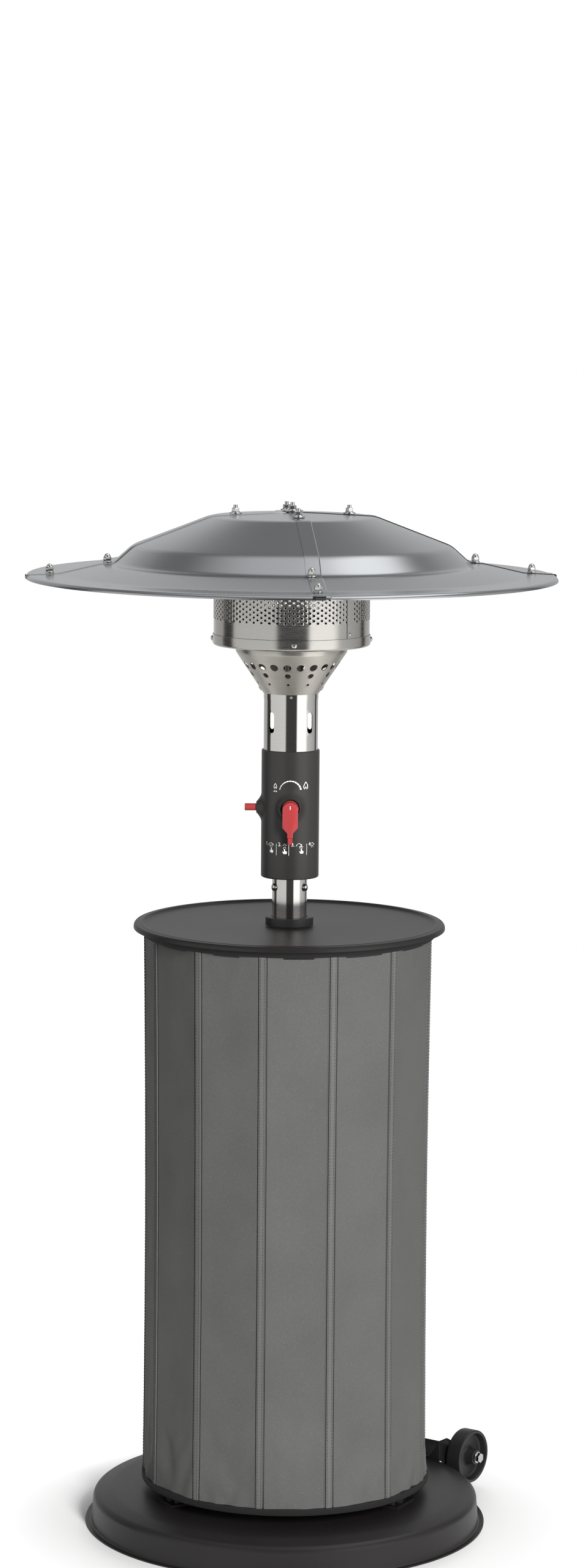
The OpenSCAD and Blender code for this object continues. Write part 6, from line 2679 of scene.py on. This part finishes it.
@dataclass
class Screen:
    """Perforated emitter screen with its overlap strip, and the lid over it."""

    radius: float = 112.3
    sheet: float = 0.8
    foot_z: float = 1301.4
    top_z: float = 1440.2
    columns: int = 120
    rows: int = 14
    pitch: float = 7.26
    hole_r: float = 1.55
    lip: float = 0.25
    lip_width: float = 0.65
    first_z: float = 1337.0
    start: float = FRONT
    strip_turn: float = -42.5
    strip_half: float = 2.95
    strip_t: float = 0.7
    lid_z: float = 1440.4
    lid_t: float = 1.0
    rivet_heights: tuple[float, float] = (1319.4, 1427.4)

    def build(self) -> None:
        """Wraps the screen, closes its foot and top, and adds strip, rivets and lid."""
        width = TURN * self.radius / self.columns
        foot = self.first_z - self.pitch / 2
        hole = Perforation(
            width, self.pitch, self.hole_r, self.sheet, lip=self.lip, lip_width=self.lip_width
        )
        finish = Palette.BRUSHED_STEEL
        field = hole.wrapped(
            "screen_field", finish, self.columns, self.rows, self.radius, foot, self.start,
            shift=self.pitch / 2,
        )
        shell = Shell()
        top = foot + self.rows * self.pitch + self.pitch / 2
        self.step_rows(shell, foot)
        self.step_rows(shell, top - self.pitch / 2)
        inner = self.radius - self.sheet
        segments = self.columns * 2
        for ring, end in ((foot, self.foot_z), (top, self.top_z)):
            section = [(self.radius, ring), (self.radius, end), (inner, end), (inner, ring)]
            shell.grid(hoops(section, segments, self.start), closed=True)
        plain = shell.mesh("screen_plain", 0.0)
        mesh = joined("screen_wall", [field, plain])
        piece("screen_wall", mesh, finish, "mast", ["emitter_screen"], sharp=60)
        self.strip()
        self.lid()

    def step_rows(self, shell: Shell, foot: float) -> None:
        """Fills the half cells that the shifted columns leave at one end of the holes.

        Args:
            shell: The shell that gets them.
            foot: Height of their lower edge.
        """
        up, over = 2, 3
        low_end = foot < self.first_z
        for column in range(self.columns):
            shifted = column % 2 == 1
            if shifted != low_end:
                continue
            points, faces = [], []
            for depth in (0.0, self.sheet):
                for i in range(up + 1):
                    for j in range(over):
                        a = math.radians(self.start) + TURN * (2 * column + j) / (2 * self.columns)
                        z = foot + self.pitch / 2 * i / up
                        points.append(polar(self.radius - depth, a, z))
            for side in range(2):
                for i in range(up):
                    for j in range(over - 1):
                        k = (side * (up + 1) + i) * over + j
                        faces.append((k, k + 1, k + over + 1, k + over))
            shell.add(points, faces)

    def strip(self) -> None:
        """Lays the overlap strip and its rivets on the screen."""
        shell = Shell()
        low, high = BurnerPan.foot_z + BurnerPan.rim_h + 0.5, self.lid_z - 8.6
        half = self.strip_half
        turns = [self.strip_turn + half * part for part in (-1.0, -0.5, 0.0, 0.0, 0.5, 1.0)]
        wide, base = self.radius + self.strip_t, self.radius - 0.1
        loops = [
            [polar(wide, math.radians(t), z) for t in turns]
            + [polar(base, math.radians(t), z) for t in reversed(turns)]
            for z in (low, low + 0.3, high - 0.3, high)
        ]
        shell.grid(loops, closed=True)
        count = len(loops[0])
        shell.add(loops[0], [tuple(range(count))])
        shell.add(loops[-1], [tuple(reversed(range(count)))])
        piece("screen_strip", shell, Palette.BRUSHED_STEEL, "mast", ["emitter_screen"])
        rivets = [
            ring_of(
                f"rivet_{round(z)}", domed_head(2.6, 1.2), Palette.ZINC, 1,
                self.radius + self.strip_t + 0.02, z, self.strip_turn, lean=90,
            )
            for z in self.rivet_heights
        ]
        mesh = joined("strip_rivets", rivets)
        piece("strip_rivets", mesh, Palette.ZINC, "mast", ["screen_rivets"])

    def lid(self) -> None:
        """Draws the lid with its short rim round the top of the screen."""
        edge = self.radius + self.lid_t + 0.1
        top = self.lid_z + self.lid_t
        shell = Shell()
        shell.turned(
            [
                (Hood.hole_r, top), *arc((edge - 1.2, top - 1.2), 1.2, 90, 0, 4),
                (edge, self.lid_z - 8), (edge - self.lid_t, self.lid_z - 8),
                (edge - self.lid_t, self.lid_z - 0.3), (edge - self.lid_t - 0.3, self.lid_z),
                (Hood.hole_r, self.lid_z),
            ],
            SMOOTH_SEGMENTS,
        )
        drill = Shell()
        for turn in Hood.seams():
            at = polar(Hood.stud_circle, math.radians(turn), self.lid_z - 3)
            drill.rod(Hood.hole_r, 0.0, 8.0, 24, Matrix.Translation(at))
        mesh = cut_from("lid_blank", shell, drill)
        piece("lid_pressing", mesh, Palette.BRUSHED_STEEL, "mast", ["screen_lid"])


@dataclass
class Hood:
    """Reflector hood of four sheets, each joggled over the next at its seam."""

    apex_z: float = 1488.4
    brim_z: float = 1392.9
    radius: float = 382.5
    step_r: float = 257.0
    sheet: float = 0.8
    lap: float = 7.0
    raised_w: float = 13.0
    joggle: float = 0.9
    joggle_w: float = 1.6
    brim_arc: float = 6.0
    brim_end: float = 0.0
    crease: float = 7.0
    seam_turn: float = 5.9
    stud_circle: float = 82.0
    nut_inner: float = 265.6
    nut_outer: float = 348.0
    hole_r: float = 3.3
    apex_r: float = 9.0
    nut_flats: float = 10.0
    nut_h: float = 5.0
    cap_hex_h: float = 6.3
    cap_dome_r: float = 4.8
    disc_bore: float = 3.15
    disc_r: float = 6.6
    disc_t: float = 1.4
    seat_lift: float = 0.65

    @staticmethod
    def seams() -> list[float]:
        """Angles of the four seams, in degrees."""
        return [Hood.seam_turn + FRONT + 90 * k for k in range(4)]

    def line(self) -> list[Point2]:
        """Corners of the sheet's top line, from the middle to the brim.

        Returns:
            Radius and height of each corner.
        """
        return [
            (self.apex_r, self.apex_z), (118.0, self.apex_z - 5.8),
            (self.step_r - 28, self.apex_z - 48.5), (self.step_r, self.brim_z + 22),
            (self.step_r + 19, self.brim_z + 21.5), (self.radius - 45.5, self.brim_z + 7.5),
            (self.radius - 6, self.brim_z + 6),
        ]

    def height(self, radius: float) -> float:
        """Height of the sheet's top line at a radius.

        Args:
            radius: The radius.

        Returns:
            The height.
        """
        corners = self.line()
        for (r0, z0), (r1, z1) in zip(corners, corners[1:]):
            if r0 <= radius <= r1:
                return z0 + (z1 - z0) * (radius - r0) / (r1 - r0)
        return corners[-1][1]

    def profile(self) -> list[Point2]:
        """Rounded top line with the rolled brim, with points close enough to bend.

        Returns:
            The line.
        """
        corners = self.line()
        rolled = arc(
            (self.radius - self.brim_arc, self.brim_z), self.brim_arc, 82, self.brim_end, 12
        )
        smooth = eased([*corners[:-1], rolled[0]], self.crease, 6)
        out: list[Point2] = []
        for (r0, z0), (r1, z1) in zip(smooth, smooth[1:]):
            pieces = max(1, round(math.hypot(r1 - r0, z1 - z0) / 14))
            out += [
                (r0 + (r1 - r0) * i / pieces, z0 + (z1 - z0) * i / pieces) for i in range(pieces)
            ]
        return out + rolled

    def across(self, radius: float) -> list[tuple[float, float]]:
        """Columns of one sheet at a radius: angle from its first seam and rise of the joggle.

        Args:
            radius: The radius.

        Returns:
            The columns.
        """
        reach = 0.92 * radius
        first = -math.asin(min(self.lap - 0.2, reach) / radius)
        end = math.pi / 2
        bend = min(self.raised_w + self.joggle_w, reach)
        flat = min(self.raised_w, reach - 0.05)
        last = math.pi / 2 - math.asin(bend / radius)
        columns = [(first + (last - first) * i / 30, 0.0) for i in range(31)]
        middle = (bend + flat) / 2
        columns.append((math.pi / 2 - math.asin(middle / radius), 0.5))
        for x in (flat, 0.0, -min(self.lap, reach)):
            columns.append((math.pi / 2 - math.asin(x / radius), 1.0))
        return [(end - angle, rise) for angle, rise in reversed(columns)]

    def panel(self, start: float) -> Shell:
        """Builds one quarter sheet from the angle of its first seam.

        Args:
            start: The angle, in degrees.

        Returns:
            The sheet, closed all round.
        """
        path = self.profile()
        faces = []
        for section in (path, beside(path, -self.sheet)):
            rows = []
            for r, z in section:
                row = []
                for angle, rise in self.across(max(r, self.apex_r)):
                    lift = self.joggle * rise
                    row.append(polar(r + lift, math.radians(start) + angle, z + lift))
                rows.append(row)
            faces.append(rows)
        top, low = faces
        loops = [t + list(reversed(b)) for t, b in zip(top, low)]
        made = Shell()
        made.grid(loops, closed=True)
        count = len(loops[0])
        half = len(top[0])
        for ring, flip in ((loops[0], False), (loops[-1], True)):
            caps = [(i, i + 1, count - 2 - i, count - 1 - i) for i in range(half - 1)]
            made.add(ring, [tuple(reversed(c)) if flip else c for c in caps])
        return made

    def build(self) -> None:
        """Lays the four sheets and sets the nuts, washers and cap nuts."""
        for k, turn in enumerate(self.seams()):
            name = f"hood_sheet_{k + 1}"
            drill = Shell()
            for side in (0, 90):
                for r in (self.stud_circle, self.nut_inner, self.nut_outer):
                    at = polar(r, math.radians(turn + side), self.brim_z - 5)
                    drill.rod(self.hole_r, 0.0, 110.0, BORE_SEGMENTS, Matrix.Translation(at))
            cut = cut_from(name, self.panel(turn), drill)
            piece(name, cut, Palette.HOOD_SHEET, "mast", [f"hood_panel_{k + 1}"], sharp=30)
        self.fasteners()
        self.slots()

    def fasteners(self) -> None:
        """Sets the nuts and washers in the middle, and the cap nuts with their washers."""
        washers, nuts, caps = [], [], []
        start = self.seams()[0]
        for radius, wide, thick, count in ((0.0, 15.0, 1.2, 1), (self.stud_circle, 9.0, 1.6, 4)):
            z = self.seat(radius)
            disc = Shell()
            disc.turned(
                [
                    (3.2, 0.0), (wide, 0.0), (wide, thick - 0.3), (wide - 0.3, thick), (6.2, thick),
                    (6.2, thick + 1.2), (5.9, thick + 1.5), (3.2, thick + 1.5),
                ],
                40,
            )
            washers.append(ring_of(f"washer_{count}", disc, Palette.ZINC, count, radius, z, start))
            nuts.append(
                ring_of(
                    f"nut_{count}", nut(self.nut_flats, self.nut_h), Palette.ZINC, count, radius,
                    z + thick + 1.6, start, turn=17,
                )
            )
        for radius in (self.nut_inner, self.nut_outer):
            disc = Shell()
            bore, wide, thick = self.disc_bore, self.disc_r, self.disc_t
            disc.turned(
                [(bore, 0.0), (wide, 0.0), (wide, thick - 0.3), (wide - 0.3, thick), (bore, thick)],
                32,
            )
            z = self.seat(radius)
            washers.append(ring_of(f"washer_{radius:.0f}", disc, Palette.ZINC, 4, radius, z, start))
            crown = cap_nut(self.nut_flats, self.cap_hex_h, self.cap_dome_r)
            caps.append(
                ring_of(
                    f"cap_{radius:.0f}", crown, Palette.POLISHED_STEEL, 4, radius, z + 1.5, start,
                    turn=8,
                )
            )
        for name, parts, finish, node in (
            ("hood_washer_discs", washers, Palette.ZINC, "hood_washers"),
            ("hood_hex_nuts", nuts, Palette.ZINC, "hood_nuts"),
            ("seam_cap_nuts", caps, Palette.POLISHED_STEEL, "cap_nuts"),
        ):
            piece(name, joined(name, parts, FINE), finish, "mast", [node])

    def seat(self, radius: float) -> float:
        """Height at which a washer lies on the lapped sheets."""
        return self.height(max(radius, self.apex_r)) + self.joggle + self.seat_lift

    def slots(self) -> None:
        """Puts a black patch inside the open end of each lap under the brim: painted shade in the
        slot.
        """
        patch = Shell()
        rows = []
        for z in (-2.0, 2.0):
            rows.append([(0.0, x, z) for x in (-11.0, -6.4, -1.8, 2.8, 7.4)])
        back = [[(-0.6, y, z) for _, y, z in row] for row in rows]
        bend = self.radius + self.joggle

        def bent(row: list[Point3]) -> list[Point3]:
            """Bends a row of points onto the brim.

            Args:
                row: The row.

            Returns:
                The bent row.
            """
            return [(x + math.sqrt(bend**2 - y * y) - bend, y, z) for x, y, z in row]

        rings = [bent(rows[0]), bent(rows[1]), bent(back[1]), bent(back[0]), bent(rows[0])]
        patch.grid(rings)
        for side in (0, 4):
            corner = [rings[i][side] for i in range(4)]
            patch.add(corner, [(0, 1, 2, 3) if side else (3, 2, 1, 0)])
        # The patches sit just under the brim's surface: painted shade in each slot.
        mesh = ring_of(
            "brim_slots", patch, Palette.GAP_BLACK, 4, bend - 0.4, self.brim_z + 3.7,
            self.seams()[0]
        )
        piece("brim_slots", mesh, Palette.GAP_BLACK, "mast")


HIDDEN = {
    # The posts, plates and foot bolts under the sleeve take the darker frame paint: black paint
    # with painted shade, and on the bolts painted shade only.
    Palette.FRAME_PAINT: "support_posts post_foot_bolts spider_plate mast_guide",
    Palette.ZINC: "mast_stop post_top_bolts table_nuts hem_wire bracket_bolts axle_bolts "
    "axle_washers axle_nuts clamp_screw hood_studs hood_spacers seam_bolts",
    Palette.BLACK_PLASTIC: "mast_foot_plug piezo_unit", Palette.BLACK_PAINT: "housing_screws",
    Palette.BRASS: "gas_valve gas_inlet gas_pipe injector thermocouple valve_spindle",
    Palette.BRUSHED_STEEL: "mixing_tube", Palette.CERAMIC: "spark_electrode",
    Palette.SOOTED_STEEL: "burner_head",
}


def dress_hidden_parts() -> None:
    """Gives every CAD node that stays its procedural finish."""
    for name, finish in ((name, made) for made, names in HIDDEN.items() for name in names.split()):
        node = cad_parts[name]
        if not node.material_slots:
            node.data.materials.append(finish.material())
        for slot in node.material_slots:
            slot.link = "OBJECT"
            slot.material = finish.material()
        log.info("%s keeps its solid, with %s", name, finish.name.lower())


def main() -> None:
    """Builds the studio and the heater from the floor up; each piece logs its count of faces."""
    logging.basicConfig(level=logging.INFO, format="%(message)s")
    Studio().build()
    for part in (
        Base, Bracket, Wheels, Table, Sleeve, Mast, Housing, Prints, LeverKnob, IgniterButton,
        HeadTube, Cone, BurnerPan, Screen, Hood,
    ):
        part().build()
    dress_hidden_parts()
    bpy.context.view_layer.update()


if __name__ == "__main__":
    main()
